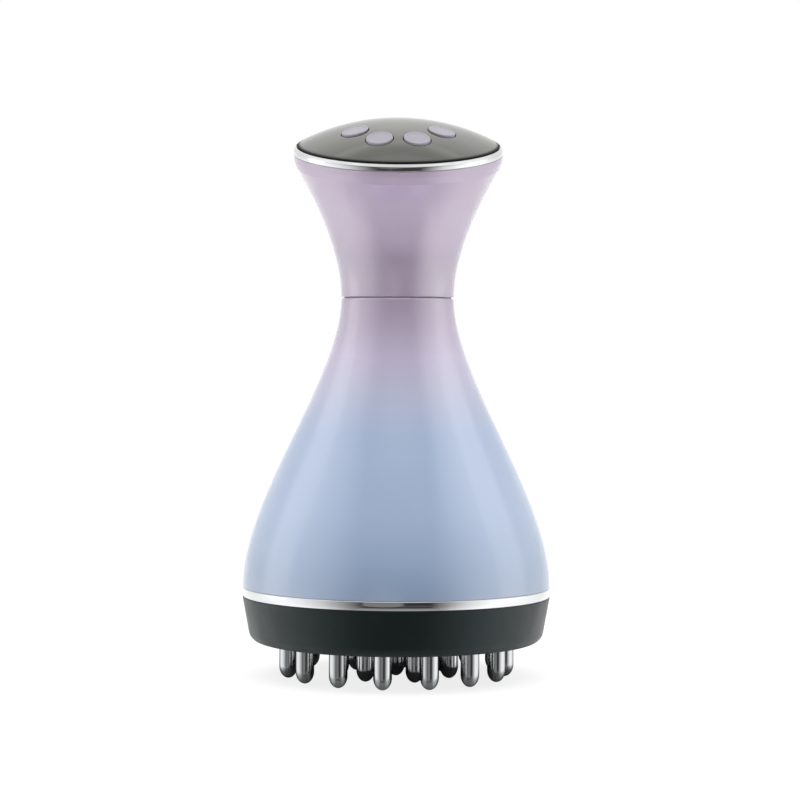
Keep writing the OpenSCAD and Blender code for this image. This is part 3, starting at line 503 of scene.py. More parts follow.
def circuit_lacquer(name):
    """Green solder mask over copper tracks, which show as slightly raised paler lines."""
    material, tree, shader, place = new_material(name)
    tracks = add(tree, "TexBrick", {
        "Vector": place, "Scale": 1 / (TRACK_STEP * MM), "Mortar Size": 0.06, "Color1": colour("#1b5a34"),
        "Color2": colour("#1a5732"), "Mortar": colour("#2c7a4a")}, offset=0.5)
    relief = add(tree, "Bump", {"Height": tracks.outputs["Fac"], "Strength": 1.0,
                                "Distance": TRACK_HEIGHT * MM})
    feed(shader, {"Base Color": tracks.outputs["Color"], "Roughness": 0.35, "IOR": 1.5,
                  "Normal": relief.outputs["Normal"]})
    return material


finishes = {
    # Sprayed paint is smooth and has a soft sheen
    "lower_shell_paint": sprayed_paint("satin_spray_paint_fading_mauve_to_blue_shaded_at_foot", LOWER_COATS_AND_FOOT_SHADE),
    "upper_shell_paint": sprayed_paint("satin_spray_paint_mauve", UPPER_COATS),
    # Chrome mirrors the studio. The pins' dark edge tint is painted shade from the pins round them and the
    # shadow under the brush
    "chrome_trim": chrome_plate("chrome_plated_abs", "#d5d6d7", "#ffffff", 0.05, 0.02, 2.5),
    # The dark edge colour here is painted shade on the pins' sides
    "chrome_pins": chrome_plate("chrome_plated_turned_brass", "#c8cbcc", "#202122", 0.07, 0.003, 1.6),
    # The polished lens is nearly black and shines; its matt black rim is painted shade at the gap by the trim
    # ring
    "panel_plastic": lens_with_painted_rim_shade("polished_smoke_grey_pmma", "#1e1e1c", "#050505", 2.2),
    # Moulded plastics and rubber scatter light the more, the rougher their tool was
    "button_plastic": moulded_plastic("satin_painted_abs_keys", "#9e9aa5", "#9b97a2", 0.35, 0.3, 0.002),
    "base_plastic": moulded_plastic("spark_eroded_charcoal_abs", "#0a1316", "#091114", 0.43, 0.25, 0.006,
                                    "#cfe0e0"),
    "dark_plastic": moulded_plastic("moulded_black_abs", "#2b2e30", "#282b2d", 0.5, 0.4, 0.006),
    "gasket_rubber": moulded_plastic("moulded_silicone_rubber", "#1d1d1d", "#191919", 0.65, 0.3, 0.004),
    "end_cap_plastic": moulded_plastic("moulded_ivory_nylon", "#e3dfd2", "#dedacc", 0.5, 0.4, 0.004),
    "battery_wrap": moulded_plastic("heat_shrunk_green_pvc_film", "#2c8f63", "#2a8a5f", 0.3, 1.0, 0.004),
    "wire_sleeve": moulded_plastic("extruded_silicone_wire_sleeve", "#c0392b", "#b83427", 0.45, 0.5, 0.003),
    # Turned, drawn and rolled metals have a bright, slightly streaky shine
    "screw_steel": turned_metal("zinc_plated_steel_screws", "#b6b8ba", 0.3, 0.15),
    "motor_steel": turned_metal("drawn_bright_steel", "#c9cacb", 0.22, 0.2),
    "weight_brass": turned_metal("turned_brass_weight", "#cfae62", 0.25, 0.2),
    "tab_nickel": turned_metal("rolled_nickel_strip", "#cfccc2", 0.3, 0.2),
    "circuit_board": circuit_lacquer("solder_mask_on_fibreglass"),
}
for entry in frame["record"]["subparts"]:
    mesh = frame["nodes"][entry["node"]].data
    mesh.materials.clear()
    mesh.materials.append(finishes[entry["material_slot"]])
# The sleeve's collar shows at the waist, in the colour of the paint round it
frame["nodes"]["neck_sleeve"].data.materials[0] = moulded_plastic(
    "moulded_mauve_abs_collar", "#b4a5be", "#b0a1ba", 0.5, 0.4, 0.004)


def foot_to_waist(t):
    """Outline of the lower shell: a Bezier curve that leaves the foot and reaches the waist upright."""
    return bezier((FOOT_R, FOOT_Z), (FOOT_R, FOOT_Z + FOOT_PULL),
                  (WAIST_R, WAIST_Z - WAIST_PULL), (WAIST_R, WAIST_Z), t)


def port_loop(grow):
    """Outline of the charging port as (x, z): two half circles joined by straight runs, grown outwards."""
    height = PORT_HEIGHT / 2 + grow
    reach = (PORT_WIDTH - PORT_HEIGHT) / 2
    bend = np.linspace(-math.pi / 2, math.pi / 2, 17)
    run = np.linspace(-reach, reach, 13)[1:-1]
    right = np.stack([reach + height * np.cos(bend), height * np.sin(bend)], 1)
    top = np.stack([run[::-1], np.full(len(run), height)], 1)
    loop = np.vstack([right, top, -right, -top])
    return loop + [0, PORT_Z]


def skin_radius(z):
    """Radius of the lower shell's outer skin at a height."""
    radius, heights = foot_to_waist(np.linspace(0, 1, 4000)).T
    return np.interp(z, heights, radius)


def on_skin(flat, inset):
    """Lifts (angle * foot radius, z) on to the outer skin, or inset below it."""
    radius = skin_radius(flat[:, 1]) - inset
    angle = flat[:, 0] / FOOT_R
    return np.stack([-radius * np.sin(angle), radius * np.cos(angle), flat[:, 1]], 1)


def flatten(loop):
    """Turns (x, z) on the outer skin into (angle * foot radius, z)."""
    radius = skin_radius(loop[:, 1])
    return np.stack([np.arcsin(loop[:, 0] / radius) * FOOT_R, loop[:, 1]], 1)


def port_patches(heights, columns):
    """Both skins round the port, refilled up to its rolled edge, and the wall between them.

    A point (x, z) of a skin lies at y = sqrt(R(z)^2 - x^2), with R as its radius at that height. At
    angle a of the roll, with e as its radius, the edge is e (1 - sin a) wider and e (1 - cos a) deeper.
    """
    patches = []
    across = (circle(SIDES)[columns] - math.pi) * FOOT_R
    for rows, inset, edge in ((heights, 0.0, PORT_EDGE_R), (heights[::2], SHELL_WALL, 0.0)):
        bottom = np.stack([across, np.full(len(across), rows[0])], 1)
        top = np.stack([across[::-1], np.full(len(across), rows[-1])], 1)
        right = np.stack([np.full(len(rows), across[-1]), rows], 1)[1:-1]
        left = np.stack([np.full(len(rows), across[0]), rows[::-1]], 1)[1:-1]
        grid = np.stack(np.meshgrid(across[1:-1], rows[1:-1]), 2).reshape(-1, 2)
        # Two rings of points close to the edge keep the shading there even
        free = np.vstack([grid[~inside(flatten(port_loop(edge + 1.3)), grid)],
                          flatten(port_loop(edge + 0.4)), flatten(port_loop(edge + 0.9))])
        flat, triangles = fill(np.vstack([bottom, right, top, left]), [flatten(port_loop(edge))], free)
        patches.append((on_skin(flat, inset), triangles))
    rings = [(PORT_EDGE_R * (1 - math.sin(a)), PORT_EDGE_R * (1 - math.cos(a)), 0.0)
             for a in np.linspace(0, math.pi / 2, 6)]
    rings += [(0.0, PORT_EDGE_R + 0.1, 0.0), (0.0, 0.0, SHELL_WALL)]
    wall = np.stack([on_skin(flatten(port_loop(grow)), inset) - [0, drop, 0] for grow, drop, inset in rings])
    patches.append((wall, grid_faces(*wall.shape[:2])))
    return patches


def make_lower_shell():
    """The flared shell: its outline turned round the axis, with a window at the rear for the port."""
    outer = foot_to_waist(np.linspace(0, 1, SKIN_ROWS + 1))
    # The skin starts a little up, where the foot's rounded edge ends
    outer[0, 1] += 0.3
    inner = outer[::-2] - [SHELL_WALL, 0]
    outer = outer[:-1]
    bore_r, foot_bore_r = WAIST_R - SHELL_WALL, FOOT_R - SHELL_WALL
    lip = rounded([(WAIST_R, WAIST_Z - 1, 0), (WAIST_R, WAIST_Z - 0.4, 0.2), (WAIST_R - 0.2, WAIST_Z, 0.1),
                   (bore_r, WAIST_Z, 0.1), (bore_r, WAIST_Z - 1, 0)], guard=0.03)[1:-1]
    foot = rounded([(foot_bore_r, FOOT_Z + 1, 0), (foot_bore_r, FOOT_Z, 0.1),
                    (FOOT_R, FOOT_Z, 0.2), (FOOT_R, FOOT_Z + 1, 0)], guard=0.05)[1:-1]
    outline = np.vstack([outer, lip, inner[1:], foot])
    faces = grid_faces(len(outline), SIDES, wrap_rows=True)
    # The window spans an even count of rows, because the inner skin has every second one
    first, last = np.searchsorted(outer[:, 1], [PORT_Z - WINDOW_REACH, PORT_Z + WINDOW_REACH]) // 2 * 2
    last += 2
    columns = SIDES // 2 + np.arange(-WINDOW_COLUMNS, WINDOW_COLUMNS + 1)
    inner_end = len(outline) - len(foot) - 1
    keep = np.ones(faces.shape[:2], bool)
    for start, end in ((first, last), (inner_end - last // 2, inner_end - first // 2)):
        keep[start:end, columns[0]:columns[-1]] = False
    patches = [(revolve(outline, SIDES), faces[keep])] + port_patches(outer[first:last + 1, 1], columns)
    piece("lower_shell_skin", patches, "housing", "lower_shell_paint", ["lower_shell"])


def flare_sections(outline):
    """Round sections (radius, length along the centre line) of a neck that leans by u^2 of the tilt."""
    radius, u = outline[:, :1], outline[:, 1:] / FLARE_LEN
    lean = HEAD_TILT * u ** 2
    angles = circle(SIDES)
    forward = -np.cos(angles) * radius
    middle_y = -FLARE_LEN * HEAD_TILT * u ** 3 / 3
    middle_z = FLARE_FOOT_Z + FLARE_LEN * (u - HEAD_TILT ** 2 * u ** 5 / 10)
    return np.stack([np.sin(angles) * radius, middle_y + forward * np.cos(lean),
                     middle_z + forward * np.sin(lean)], 2)


def make_upper_shell():
    """The neck and head: sections that lean more on the way up, then a band turned about the head's axis."""
    t = np.linspace(0, 1, FLARE_ROWS)
    end = (CREASE_R, FLARE_LEN)
    outer = bezier((WAIST_R, 0), (WAIST_R, FLARE_PULL),
                   (CREASE_R - CREASE_RUN * CREASE_SLOPE, FLARE_LEN - CREASE_RUN), end, t)
    # A point further down the flare's slope, so that the crease is rounded between flare and band
    below = np.array([CREASE_R, -HEAD_H]) - 1.2 * np.array([CREASE_SLOPE, 1.0])
    seat_r = RING_SEAT_R + RING_SEAT_GAP
    band = rounded([(below[0], below[1], 0), (CREASE_R, -HEAD_H, 0.5),
                    (RING_R - 0.22, -RING_H - BAND_H * 0.5, 3.0), (RING_R - 0.05, -RING_H, 0.22),
                    (seat_r, -RING_H, 0.05), (seat_r, -RING_H - RING_FOOT, 0.05),
                    (CREASE_R - SHELL_WALL, -RING_H - RING_FOOT, 0.1),
                    (CREASE_R - SHELL_WALL, -HEAD_H + 0.3, 0)], guard=0.08)[1:-1]
    # Rows at both ends of the flare make way for the rounded crease and the rounded lip at the waist
    outer = outer[outer[:, 1] < FLARE_LEN - 1.0]
    inner = outer[::-3] - [SHELL_WALL, 0]
    inner = inner[inner[:, 1] > SLEEVE_GRIP]
    bore_r = WAIST_R - SHELL_WALL
    sleeve_seat = np.array([(bore_r, SLEEVE_GRIP), (bore_r, 0.1)])
    foot = rounded([(bore_r, 1, 0), (bore_r, 0, 0.1), (WAIST_R, 0, 0.12), (WAIST_R, 1, 0)], guard=0.05)[1:-1]
    outer = outer[outer[:, 1] > 0.3]
    head = in_head(revolve(band, SIDES))
    inside_wall = flare_sections(np.vstack([inner, sleeve_seat, foot]))
    points = np.concatenate([flare_sections(outer), head, inside_wall])
    piece("upper_shell_skin", [(points, grid_faces(len(points), SIDES, wrap_rows=True))],
          "housing", "upper_shell_paint", ["upper_shell"])


def dome_z(x, y, radius=DOME_R):
    """Height of the dome over the top of the trim ring: a sphere whose crown is at CROWN_H."""
    return np.sqrt(radius ** 2 - x ** 2 - y ** 2) - (DOME_R - CROWN_H)


def button_place(i):
    """Middle of a button in the head's frame: on an arc about a point in front of the panel's middle."""
    return on_ring(BUTTON_ARC_R, (i - 1.5) * BUTTON_STEP) - [0, BUTTON_ARC_FRONT]


def hole_circle(place, radius, sides=HOLE_SIDES):
    """Closed loop round a hole: (x + r sin a, y + r cos a) for each angle a."""
    angles = circle(sides)
    return place + radius * np.stack([np.sin(angles), np.cos(angles)], 1)


def make_control_panel():
    """The dome: a sphere refilled between its rim and four round holes, with a second sphere below it.

    Each hole has a rolled edge, whose point at angle a of the roll lies at the hole's radius plus
    e (1 - sin a) and e (1 - cos a) below the dome, with e as the edge's radius.
    """
    rim = math.asin((PANEL_R - PANEL_RIM_R) / (DOME_R - PANEL_RIM_R))
    rim_z = (DOME_R - PANEL_RIM_R) * math.cos(rim) - (DOME_R - CROWN_H)
    bend = np.linspace(math.pi / 2 - rim, 0, 9)[1:]
    rim_arc = np.stack([PANEL_R - PANEL_RIM_R + PANEL_RIM_R * np.cos(bend),
                        rim_z + PANEL_RIM_R * np.sin(bend)], 1)
    edge_r = DOME_R * math.sin(rim)
    places = [button_place(i) for i in range(4)]
    loops = [hole_circle(p, HOLE_R + HOLE_EDGE_R) for p in places]
    # Rings of points close to the holes keep the shading round them even
    near = [hole_circle(p, HOLE_R + HOLE_EDGE_R + out) for p in places for out in (0.3, 0.8)]
    avoid = [(*p, HOLE_R + 1.5) for p in places]
    outer = hole_circle(np.zeros(2), edge_r, SIDES)
    free = np.vstack([disc_points(edge_r - 0.5, PANEL_STEP, avoid)] + near)
    flat, triangles = fill(outer, loops, free)
    x, y = flat.T
    reach = np.hypot(x, y)
    fade_in = np.clip((reach - UNDERSIDE_R) / (edge_r - UNDERSIDE_R), 0, 1)
    squeeze = 1 - (edge_r - PANEL_R + PANEL_WALL) * fade_in / np.maximum(reach, 1)
    under_x, under_y = x * squeeze, y * squeeze
    under_r = DOME_R - PANEL_WALL
    patches = [
        (in_head(np.stack([x, y, dome_z(x, y)], 1)), triangles),
        (in_head(np.stack([under_x, under_y, dome_z(under_x, under_y, under_r)], 1)), triangles),
    ]
    inner_r = PANEL_R - PANEL_WALL
    skirt = rounded([(PANEL_R, 0.1, 0), (PANEL_R, -PANEL_SKIRT, 0.1),
                     (inner_r, -PANEL_SKIRT, 0.1), (inner_r, -0.2, 0)], guard=0.1)[1:-1]
    inner_edge = (inner_r, dome_z(inner_r, 0, under_r))
    rim_rings = revolve(np.vstack([[(edge_r, dome_z(edge_r, 0))], rim_arc, skirt, [inner_edge]]), SIDES)
    patches.append((in_head(rim_rings), grid_faces(*rim_rings.shape[:2])))
    roll = np.linspace(0, math.pi / 2, 6)
    grow = np.concatenate([HOLE_EDGE_R * (1 - np.sin(roll)), [0, 0, HOLE_EDGE_R]])
    drop = np.concatenate([HOLE_EDGE_R * (1 - np.cos(roll)), [HOLE_EDGE_R + 0.1]])
    for place in places:
        rings = []
        for k, out in enumerate(grow):
            loop = hole_circle(place, HOLE_R + out)
            z = dome_z(*loop.T) - drop[k] if k < len(drop) else dome_z(*loop.T, under_r)
            rings.append(np.column_stack([loop, z]))
        wall = np.stack(rings)
        patches.append((in_head(wall), grid_faces(*wall.shape[:2])))
    piece("control_panel_dome", patches, "housing", "panel_plastic", ["control_panel"])


def make_button(i, name):
    """A round key: its face follows the dome, a little above it, with a rolled edge and a shallow dish."""
    place = button_place(i)
    dish_r = BUTTON_R - BUTTON_RIM
    roll = np.linspace(0, math.pi / 2, 7)
    dish = np.linspace(0, 1, 9)
    ring_r = np.concatenate([dish * dish_r, dish_r + np.array([0.12, 0.25, 0.38]),
                             BUTTON_R - BUTTON_EDGE_R + BUTTON_EDGE_R * np.sin(roll), [BUTTON_R]])
    sink = np.concatenate([BUTTON_DISH * (1 - 0.25 * dish ** 2), BUTTON_DISH * np.array([0.5, 0.15, 0.0]),
                           BUTTON_EDGE_R * (1 - np.cos(roll)), [BUTTON_EDGE_R + 0.15]])
    rings = []
    for radius, below in zip(ring_r, sink):
        x, y = hole_circle(place, radius).T
        rings.append(np.stack([x, y, dome_z(x, y, DOME_R + BUTTON_RAISE) - below], 1))
    flange_r = HOLE_R + BUTTON_LIP
    for radius, z in ((BUTTON_R, GUIDE_Z + 0.1), (BUTTON_R, GUIDE_Z), (flange_r, GUIDE_Z),
                      (flange_r, GUIDE_Z - FLANGE_T), (0.0, GUIDE_Z - FLANGE_T)):
        rings.append(np.column_stack([hole_circle(place, radius), np.full(HOLE_SIDES, z)]))
    points = np.stack(rings)
    faces = grid_faces(*points.shape[:2])
    piece(name + "_key", [(in_head(points), faces)], "key_" + name.replace("button_", ""),
          "button_plastic", [name])


def make_head_ring():
    """The chrome ring round the panel: a bevelled outline turned about the head's axis."""
    inner_r = RING_R - RING_TOP_T
    ledge_r = PANEL_R - PANEL_WALL + 0.4
    outline = rounded([(RING_R, -RING_H, 0.15), (RING_R, -RING_BEVEL, 0.5), (RING_R - RING_BEVEL, 0, 0.3),
                       (inner_r, 0, 0.08), (inner_r, -PANEL_SKIRT, 0.05), (ledge_r, -PANEL_SKIRT, 0.1),
                       (ledge_r, -RING_H - RING_FOOT, 0.1), (RING_SEAT_R, -RING_H - RING_FOOT, 0.1),
                       (RING_SEAT_R, -RING_H, 0.05)], guard=0.04)
    points = in_head(revolve(outline, SIDES))
    piece("head_ring_chrome", [(points, grid_faces(len(points), SIDES, wrap_rows=True))], "housing",
          "chrome_trim", ["head_trim_ring"])


def make_trim_band():
    """The chrome band over the base, crowned towards its foot and turned about the axis.

    At share u of the crowned height its face lies BAND_CROWN (1 - u)^2 inside the greatest radius.
    """
    inner_r = BAND_R - BAND_T
    u = np.linspace(0, 1, 12)
    crown_z = BASE_TOP_Z + BAND_CROWNED_SHARE * (FOOT_Z - BASE_TOP_Z) * u
    crown = np.stack([BAND_R - BAND_CROWN * (1 - u) ** 2, crown_z], 1)
    crown = [(r, z, 0) for r, z in crown.tolist()]
    outline = rounded([(inner_r, BASE_TOP_Z, 0.1)] + crown + [
        (BAND_R, FOOT_Z - BAND_LIP, 0.12), (BAND_R - BAND_LIP, FOOT_Z, 0.08),
        (inner_r, FOOT_Z, 0.1)], guard=0.04)
    points = revolve(outline, SIDES)
    piece("trim_band_chrome", [(points, grid_faces(len(points), SIDES, wrap_rows=True))], "housing",
          "chrome_trim", ["lower_trim_band"])


def ring_places(radius, count, turn):
    """Middles of an even ring of pins or screws."""
    return [on_ring(radius, turn + k * 2 * math.pi / count) for k in range(count)]


outer_places = ring_places(OUTER_RING_R, OUTER_COUNT, OUTER_TURN)
inner_places = ring_places(INNER_RING_R, INNER_COUNT, INNER_TURN)
screw_places = ring_places(SCREW_RING_R, 4, math.pi / 4)


def make_base():
    """The dark base: two flat discs refilled between the pin holes and screw recesses, with a turned side."""
    floor_z = BASE_BOTTOM_Z + BASE_FLOOR
    foot_r = BASE_TOP_R - BASE_TAPER
    side = math.atan(BASE_TAPER / (BASE_TOP_Z - BASE_BOTTOM_Z))
    corner_r = foot_r - BASE_CORNER_R * (1 / math.cos(side) - math.tan(side))
    bend = np.linspace(-math.pi / 2, -side, 15)
    corner = np.stack([corner_r + BASE_CORNER_R * np.cos(bend),
                       BASE_BOTTOM_Z + BASE_CORNER_R + BASE_CORNER_R * np.sin(bend)], 1)
    inner_foot_r = foot_r - BASE_WALL
    top = rounded([(corner[-1, 0], corner[-1, 1], 0), (BASE_TOP_R, BASE_TOP_Z, 0.3),
                   (BASE_TOP_R - BASE_WALL, BASE_TOP_Z, 0.1), (inner_foot_r, floor_z, 0)], guard=0.2)[1:]
    wall = revolve(np.vstack([corner, top, [(corner_r, floor_z)]]), SIDES)
    pins = outer_places + inner_places + [np.zeros(2)]
    loops = [hole_circle(p, PIN_LAND_R + PIN_HOLE_EDGE_R, PIN_SIDES) for p in pins]
    loops += [hole_circle(p, RECESS_R, PIN_SIDES) for p in screw_places]
    near = [hole_circle(p, PIN_LAND_R + 0.5, PIN_SIDES) for p in pins]
    near += [hole_circle(p, RECESS_R + 0.3, PIN_SIDES) for p in screw_places]
    avoid = [(*p, PIN_R + 1.2) for p in pins + screw_places]
    outer = hole_circle(np.zeros(2), corner_r, SIDES)
    flat, triangles = fill(outer, loops, np.vstack([disc_points(corner_r - 0.5, BASE_STEP, avoid)] + near))
    patches = [(np.column_stack([flat, np.full(len(flat), z)]), triangles) for z in (BASE_BOTTOM_Z, floor_z)]
    patches.append((wall, grid_faces(*wall.shape[:2])))
    roll = np.linspace(0, math.pi / 2, 5)
    edge_r = PIN_HOLE_EDGE_R
    pin_rings = [(PIN_LAND_R + edge_r * (1 - math.sin(a)), BASE_BOTTOM_Z + edge_r * (1 - math.cos(a)))
                 for a in roll] + [(PIN_LAND_R, floor_z), (PIN_LAND_R + edge_r, floor_z)]
    recess_z = BASE_BOTTOM_Z + RECESS_H
    screw_rings = [(RECESS_R, BASE_BOTTOM_Z), (RECESS_R, recess_z), (SCREW_HOLE_R, recess_z),
                   (SCREW_HOLE_R, floor_z), (RECESS_R, floor_z)]
    for places, rings in ((pins, pin_rings), (screw_places, screw_rings)):
        for place in places:
            hole = np.stack([np.column_stack([hole_circle(place, r, PIN_SIDES), np.full(PIN_SIDES, z)])
                             for r, z in rings])
            patches.append((hole, grid_faces(*hole.shape[:2])))
    piece("base_cover_moulding", patches, "housing", "base_plastic", ["base_cover"])


def make_pins(name, places):
    """Chrome pins: a bullet tip, r = R sin a and z = h (1 - cos a), a shank, a land, a collar and a post."""
    bend = np.linspace(0, math.pi / 2, 14)
    tip = np.stack([PIN_R * np.sin(bend), PIN_TIP_H * (1 - np.cos(bend))], 1)
    collar_z = BASE_BOTTOM_Z + BASE_FLOOR
    board_z = low("contact_board")
    post_z = high("centre_massage_pin")
    collar_r = half_width("centre_massage_pin")
    outline = np.array([(PIN_R, PIN_TIP_H + 0.6), (PIN_R, BASE_BOTTOM_Z - 0.1), (PIN_R, BASE_BOTTOM_Z),
                        (PIN_LAND_R, BASE_BOTTOM_Z), (PIN_LAND_R, collar_z), (collar_r, collar_z),
                        (collar_r, board_z), (PIN_POST_R, board_z), (PIN_POST_R, post_z), (0.0, post_z)])
    outline = np.vstack([tip, outline])
    patches = []
    for place in places:
        points = revolve(outline, PIN_SIDES, place)
        patches.append((points, grid_faces(*points.shape[:2])))
    piece(name + "_chrome", patches, "housing", "chrome_pins", [name])


make_lower_shell()
make_upper_shell()
make_control_panel()
for index, side in enumerate(("far_left", "near_left", "near_right", "far_right")):
    make_button(index, "button_" + side)
make_head_ring()
make_trim_band()
make_base()
make_pins("outer_massage_pins", outer_places)
make_pins("inner_massage_pins", inner_places)
make_pins("centre_massage_pin", [np.zeros(2)])


# Half the floor's side in metres, and the size in mm of the paper's fibres, coarse enough to show
FLOOR_REACH, FIBRE_SIZE = 6.0, 1.5
# How much of its colour the floor shows to matt faces, and how much, with its shadow, to the camera
FLOOR_SHADE, SHADOW_DEPTH = 1.0, 0.25
# The level of the open floor to the camera, and what the lights alone give it at full colour
FLOOR_WHITE, OPEN_FLOOR = 1.03, 0.8
# The shaded spot under the brush, as metal shows it: its middle, where its edge starts and ends, in mm
SPOT_Y, SPOT_REACH, SPOT_SHADE = 10, (30, 52), 0.6


def make_floor():
    """A wide white floor that keeps a soft shadow.

    Metal reflects it only where the brush shades it, and the studio's own levels further out.
    """
    data = bpy.data.meshes.new("studio_floor")
    corners = [(-FLOOR_REACH, -FLOOR_REACH, 0), (FLOOR_REACH, -FLOOR_REACH, 0),
               (FLOOR_REACH, FLOOR_REACH, 0), (-FLOOR_REACH, FLOOR_REACH, 0)]
    data.from_pydata(corners, [], [(0, 1, 2, 3)])
    floor = bpy.data.objects.new("studio_floor", data)
    bpy.context.scene.collection.objects.link(floor)
    material, tree, shader, place = new_material("matte_white_studio_paper")
    fibre = add(tree, "TexNoise", {"Vector": place, "Scale": 1 / (FIBRE_SIZE * MM), "Detail": 3.0})
    paper = add(tree, "Mix", {"Factor": fibre.outputs["Fac"], 6: colour("#f0f0f0"), 7: colour("#f3f3f3")},
                data_type="RGBA")
    path = add(tree, "LightPath").outputs
    dimmed = add(tree, "MapRange", {"Value": path["Is Camera Ray"], "To Min": FLOOR_SHADE,
                                    "To Max": SHADOW_DEPTH})
    level = add(tree, "Math", {0: path["Is Glossy Ray"], 1: SPOT_SHADE - FLOOR_SHADE,
                               2: dimmed.outputs["Result"]}, operation="MULTIPLY_ADD")
    shade = add(tree, "VectorMath", {0: paper.outputs[2], "Scale": level.outputs[0]}, operation="SCALE")
    lift = add(tree, "Math", {0: path["Is Camera Ray"], 1: FLOOR_WHITE - OPEN_FLOOR * SHADOW_DEPTH},
               operation="MULTIPLY")
    feed(shader, {"Roughness": 1.0, "Specular IOR Level": 0.0, "Base Color": shade.outputs["Vector"],
                  "Emission Color": (1, 1, 1, 1), "Emission Strength": lift.outputs[0]})
    away = add(tree, "VectorMath", {0: place, 1: (0, SPOT_Y * MM, 0)}, operation="DISTANCE")
    beyond = add(tree, "MapRange", {"Value": away.outputs["Value"], "From Min": SPOT_REACH[0] * MM,
                                    "From Max": SPOT_REACH[1] * MM}, interpolation_type="SMOOTHSTEP")
    through = add(tree, "Math", {0: path["Is Glossy Ray"], 1: beyond.outputs["Result"]},
                  operation="MULTIPLY")
    clear = add(tree, "BsdfTransparent")
    seen = add(tree, "MixShader", {0: through.outputs[0], 1: shader.outputs["BSDF"],
                                   2: clear.outputs["BSDF"]})
    feed(tree.nodes["Material Output"], {"Surface": seen.outputs["Shader"]})
    data.materials.append(material)


# What polished faces reflect. White walls round the brush: (degrees from the camera's side, level)
WALL_LEVELS = [(-180, 1.25), (-162, 1.12), (-142, 1.0), (-124, 1.05), (-104, 1.2), (-90, 1.15), (-78, 1.05),
               (-68, 0.9), (-58, 0.75), (-46, 0.48), (-24, 0.05), (0, 0.0), (26, 0.05), (42, 0.45),
               (54, 0.82), (64, 1.0), (74, 1.2), (84, 1.25), (96, 1.2), (112, 1.15), (128, 1.05),
               (142, 1.0), (162, 1.12), (180, 1.25)]
# How the walls fade with height: (height in degrees, share)
WALL_RISE = [(-70, 0.4), (-42, 1.2), (-4, 1.2), (3, 1.0), (8, 1.04), (14, 0.93), (24, 0.93), (34, 1.0),
             (42, 1.1), (55, 1.05), (72, 0.3)]
# All round, and alone in front where the camera stands: (height in degrees, level)
HEIGHT_LEVELS = [(-90, 0.45), (-60, 0.45), (-46, 0.42), (-38, 0.3), (-31, 0.06), (-24, 0.06), (-18, 0.12),
                 (-9, 0.06), (4, 0.02), (20, 0.08), (30, 0.2), (45, 0.3), (54, 0.9), (60, 1.3),
                 (66, 0.9), (71, 0.85), (76, 1.0), (90, 1.0)]
# What lights matt faces, the same all round: (height in degrees, level)
OPEN_LEVELS = [(0, 0.29), (45, 0.29), (60, 2.85), (90, 3.2)]
# A grey patch low in front: degrees from the camera's side, height in degrees, reach and level
PATCH_TURN, PATCH_HEIGHT, PATCH_REACH, PATCH_LEVEL = -10, -9, (13, 17), 0.27


def make_world():
    """The studio, which gives light and reflections. The camera itself sees plain white."""
    world = bpy.data.worlds.new("studio")
    bpy.context.scene.world = world
    world.use_nodes = True
    tree = world.node_tree
    way = add(tree, "TexCoord").outputs["Generated"]
    x, y, z = add(tree, "SeparateXYZ", {"Vector": way}).outputs

    def levels_along(value, start, end, levels):
        """The level for a value from start to end, with straight runs between the given (value, level)."""
        share = add(tree, "MapRange", {"Value": value, "From Min": start, "From Max": end})
        stops = [((at - start) / (end - start), (level, level, level, 1)) for at, level in levels]
        return add(tree, "ValToRGB", {"Fac": share.outputs["Result"]}, stops).outputs["Color"]

    def by_height(levels):
        """The level for a height over the horizon, whose sine is z."""
        return levels_along(z, -1.0, 1.0, [(math.sin(math.radians(up)), level) for up, level in levels])

    front = add(tree, "Math", {0: y, 1: -1.0}, operation="MULTIPLY").outputs[0]
    turn = add(tree, "Math", {0: x, 1: front}, operation="ARCTAN2").outputs[0]
    wall_levels = [(math.radians(side), level) for side, level in WALL_LEVELS]
    walls = levels_along(turn, -math.pi, math.pi, wall_levels)
    walls = add(tree, "Math", {0: walls, 1: by_height(WALL_RISE)}, operation="MULTIPLY").outputs[0]
    side, rise = math.radians(PATCH_TURN), math.radians(PATCH_HEIGHT)
    centre = (math.cos(rise) * math.sin(side), -math.cos(rise) * math.cos(side), math.sin(rise))
    towards = add(tree, "VectorMath", {0: way, 1: centre}, operation="DOT_PRODUCT").outputs["Value"]
    near, far = (math.cos(math.radians(reach)) for reach in PATCH_REACH)
    patch = add(tree, "MapRange", {"Value": towards, "From Min": far, "From Max": near,
                                   "To Max": PATCH_LEVEL}, interpolation_type="SMOOTHSTEP")
    room = add(tree, "Math", {0: walls, 1: by_height(HEIGHT_LEVELS)}, operation="MAXIMUM")
    room = add(tree, "Math", {0: room.outputs[0], 1: patch.outputs["Result"]}, operation="MAXIMUM")
    path = add(tree, "LightPath").outputs
    light = add(tree, "Mix", {"Factor": path["Is Glossy Ray"], "A": by_height(OPEN_LEVELS),
                              "B": room.outputs[0]}, data_type="FLOAT")
    seen = add(tree, "Mix", {"Factor": path["Is Camera Ray"], "A": light.outputs[0], "B": 1.0},
               data_type="FLOAT")
    feed(tree.nodes["Background"], {"Color": (1, 1, 1, 1), "Strength": seen.outputs[0]})


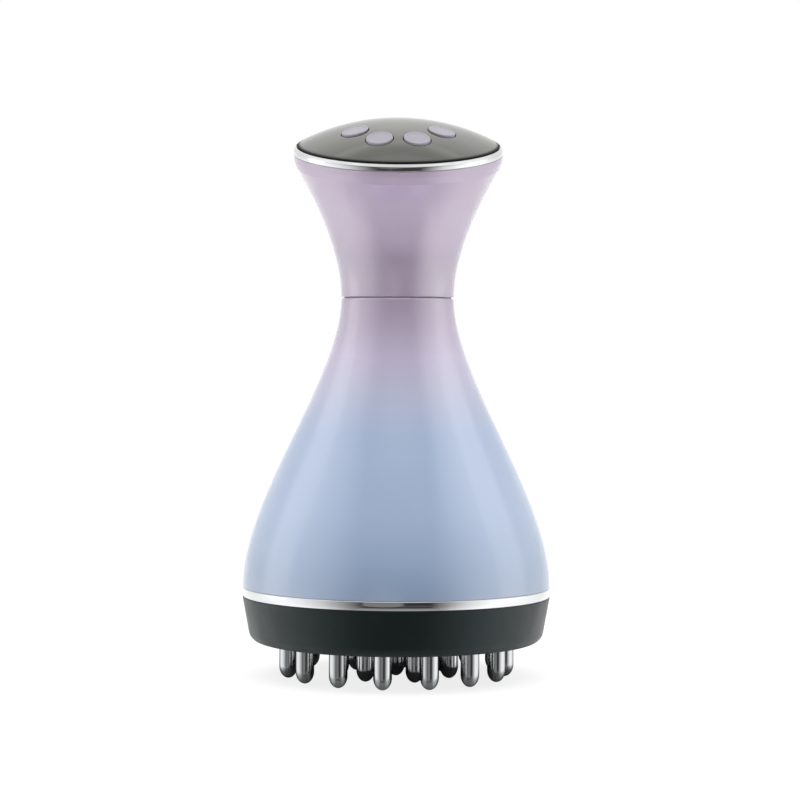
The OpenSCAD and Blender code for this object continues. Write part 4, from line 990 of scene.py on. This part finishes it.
# The softboxes in metres: their sides, distance, the height of their middles and of where they aim
SOFTBOX_WIDTH, SOFTBOX_HEIGHT, SOFTBOX_DISTANCE, SOFTBOX_Z, SOFTBOX_AIM_Z = 0.6, 1.2, 1.1, 0.45, 0.07
SOFTBOX_WATTS = 0.8


def make_softbox(name, azimuth):
    """A large soft lamp that faces the brush. Azimuth is counted from the front towards the right."""
    data = bpy.data.lights.new(name, "AREA")
    data.shape = "RECTANGLE"
    data.size, data.size_y, data.energy = SOFTBOX_WIDTH, SOFTBOX_HEIGHT, SOFTBOX_WATTS
    lamp = bpy.data.objects.new(name, data)
    bpy.context.scene.collection.objects.link(lamp)
    lamp.location = (*on_ring(SOFTBOX_DISTANCE, math.radians(azimuth)), SOFTBOX_Z)
    aim = Vector((0, 0, SOFTBOX_AIM_Z)) - lamp.location
    lamp.rotation_euler = aim.to_track_quat("-Z", "Y").to_euler()
    lamp.visible_camera = False


# Where the camera stands, in mm, and how it is turned, in degrees
CAMERA_X, CAMERA_DISTANCE, CAMERA_Z = 0.70, 600.0, 81.08
CAMERA_PITCH, CAMERA_ROLL = 1.343, 0.29
# The picture's side in pixels, how many of them a millimetre at the brush spans, and the film in mm
PICTURE_SIDE, PIXELS_PER_MM, SENSOR_WIDTH = 800, 4.121, 36.0



def make_camera():
    """The photograph's view: level with the waist, a touch downwards and a touch turned."""
    data = bpy.data.cameras.new("camera")
    data.lens = SENSOR_WIDTH * PIXELS_PER_MM * CAMERA_DISTANCE / PICTURE_SIDE
    data.sensor_width = SENSOR_WIDTH
    data.clip_start, data.clip_end = 0.01, 50.0
    camera = bpy.data.objects.new("camera", data)
    bpy.context.scene.collection.objects.link(camera)
    turn = Matrix.Rotation(math.radians(90 - CAMERA_PITCH), 4, "X")
    roll = Matrix.Rotation(math.radians(CAMERA_ROLL), 4, "Z")
    stand = Matrix.Translation((CAMERA_X * MM, -CAMERA_DISTANCE * MM, CAMERA_Z * MM))
    camera.matrix_world = stand @ turn @ roll
    bpy.context.scene.camera = camera


make_floor()
make_world()
make_softbox("left_softbox", -100)
make_softbox("right_softbox", 96)
make_camera()
bpy.context.scene.view_settings.view_transform = "Standard"
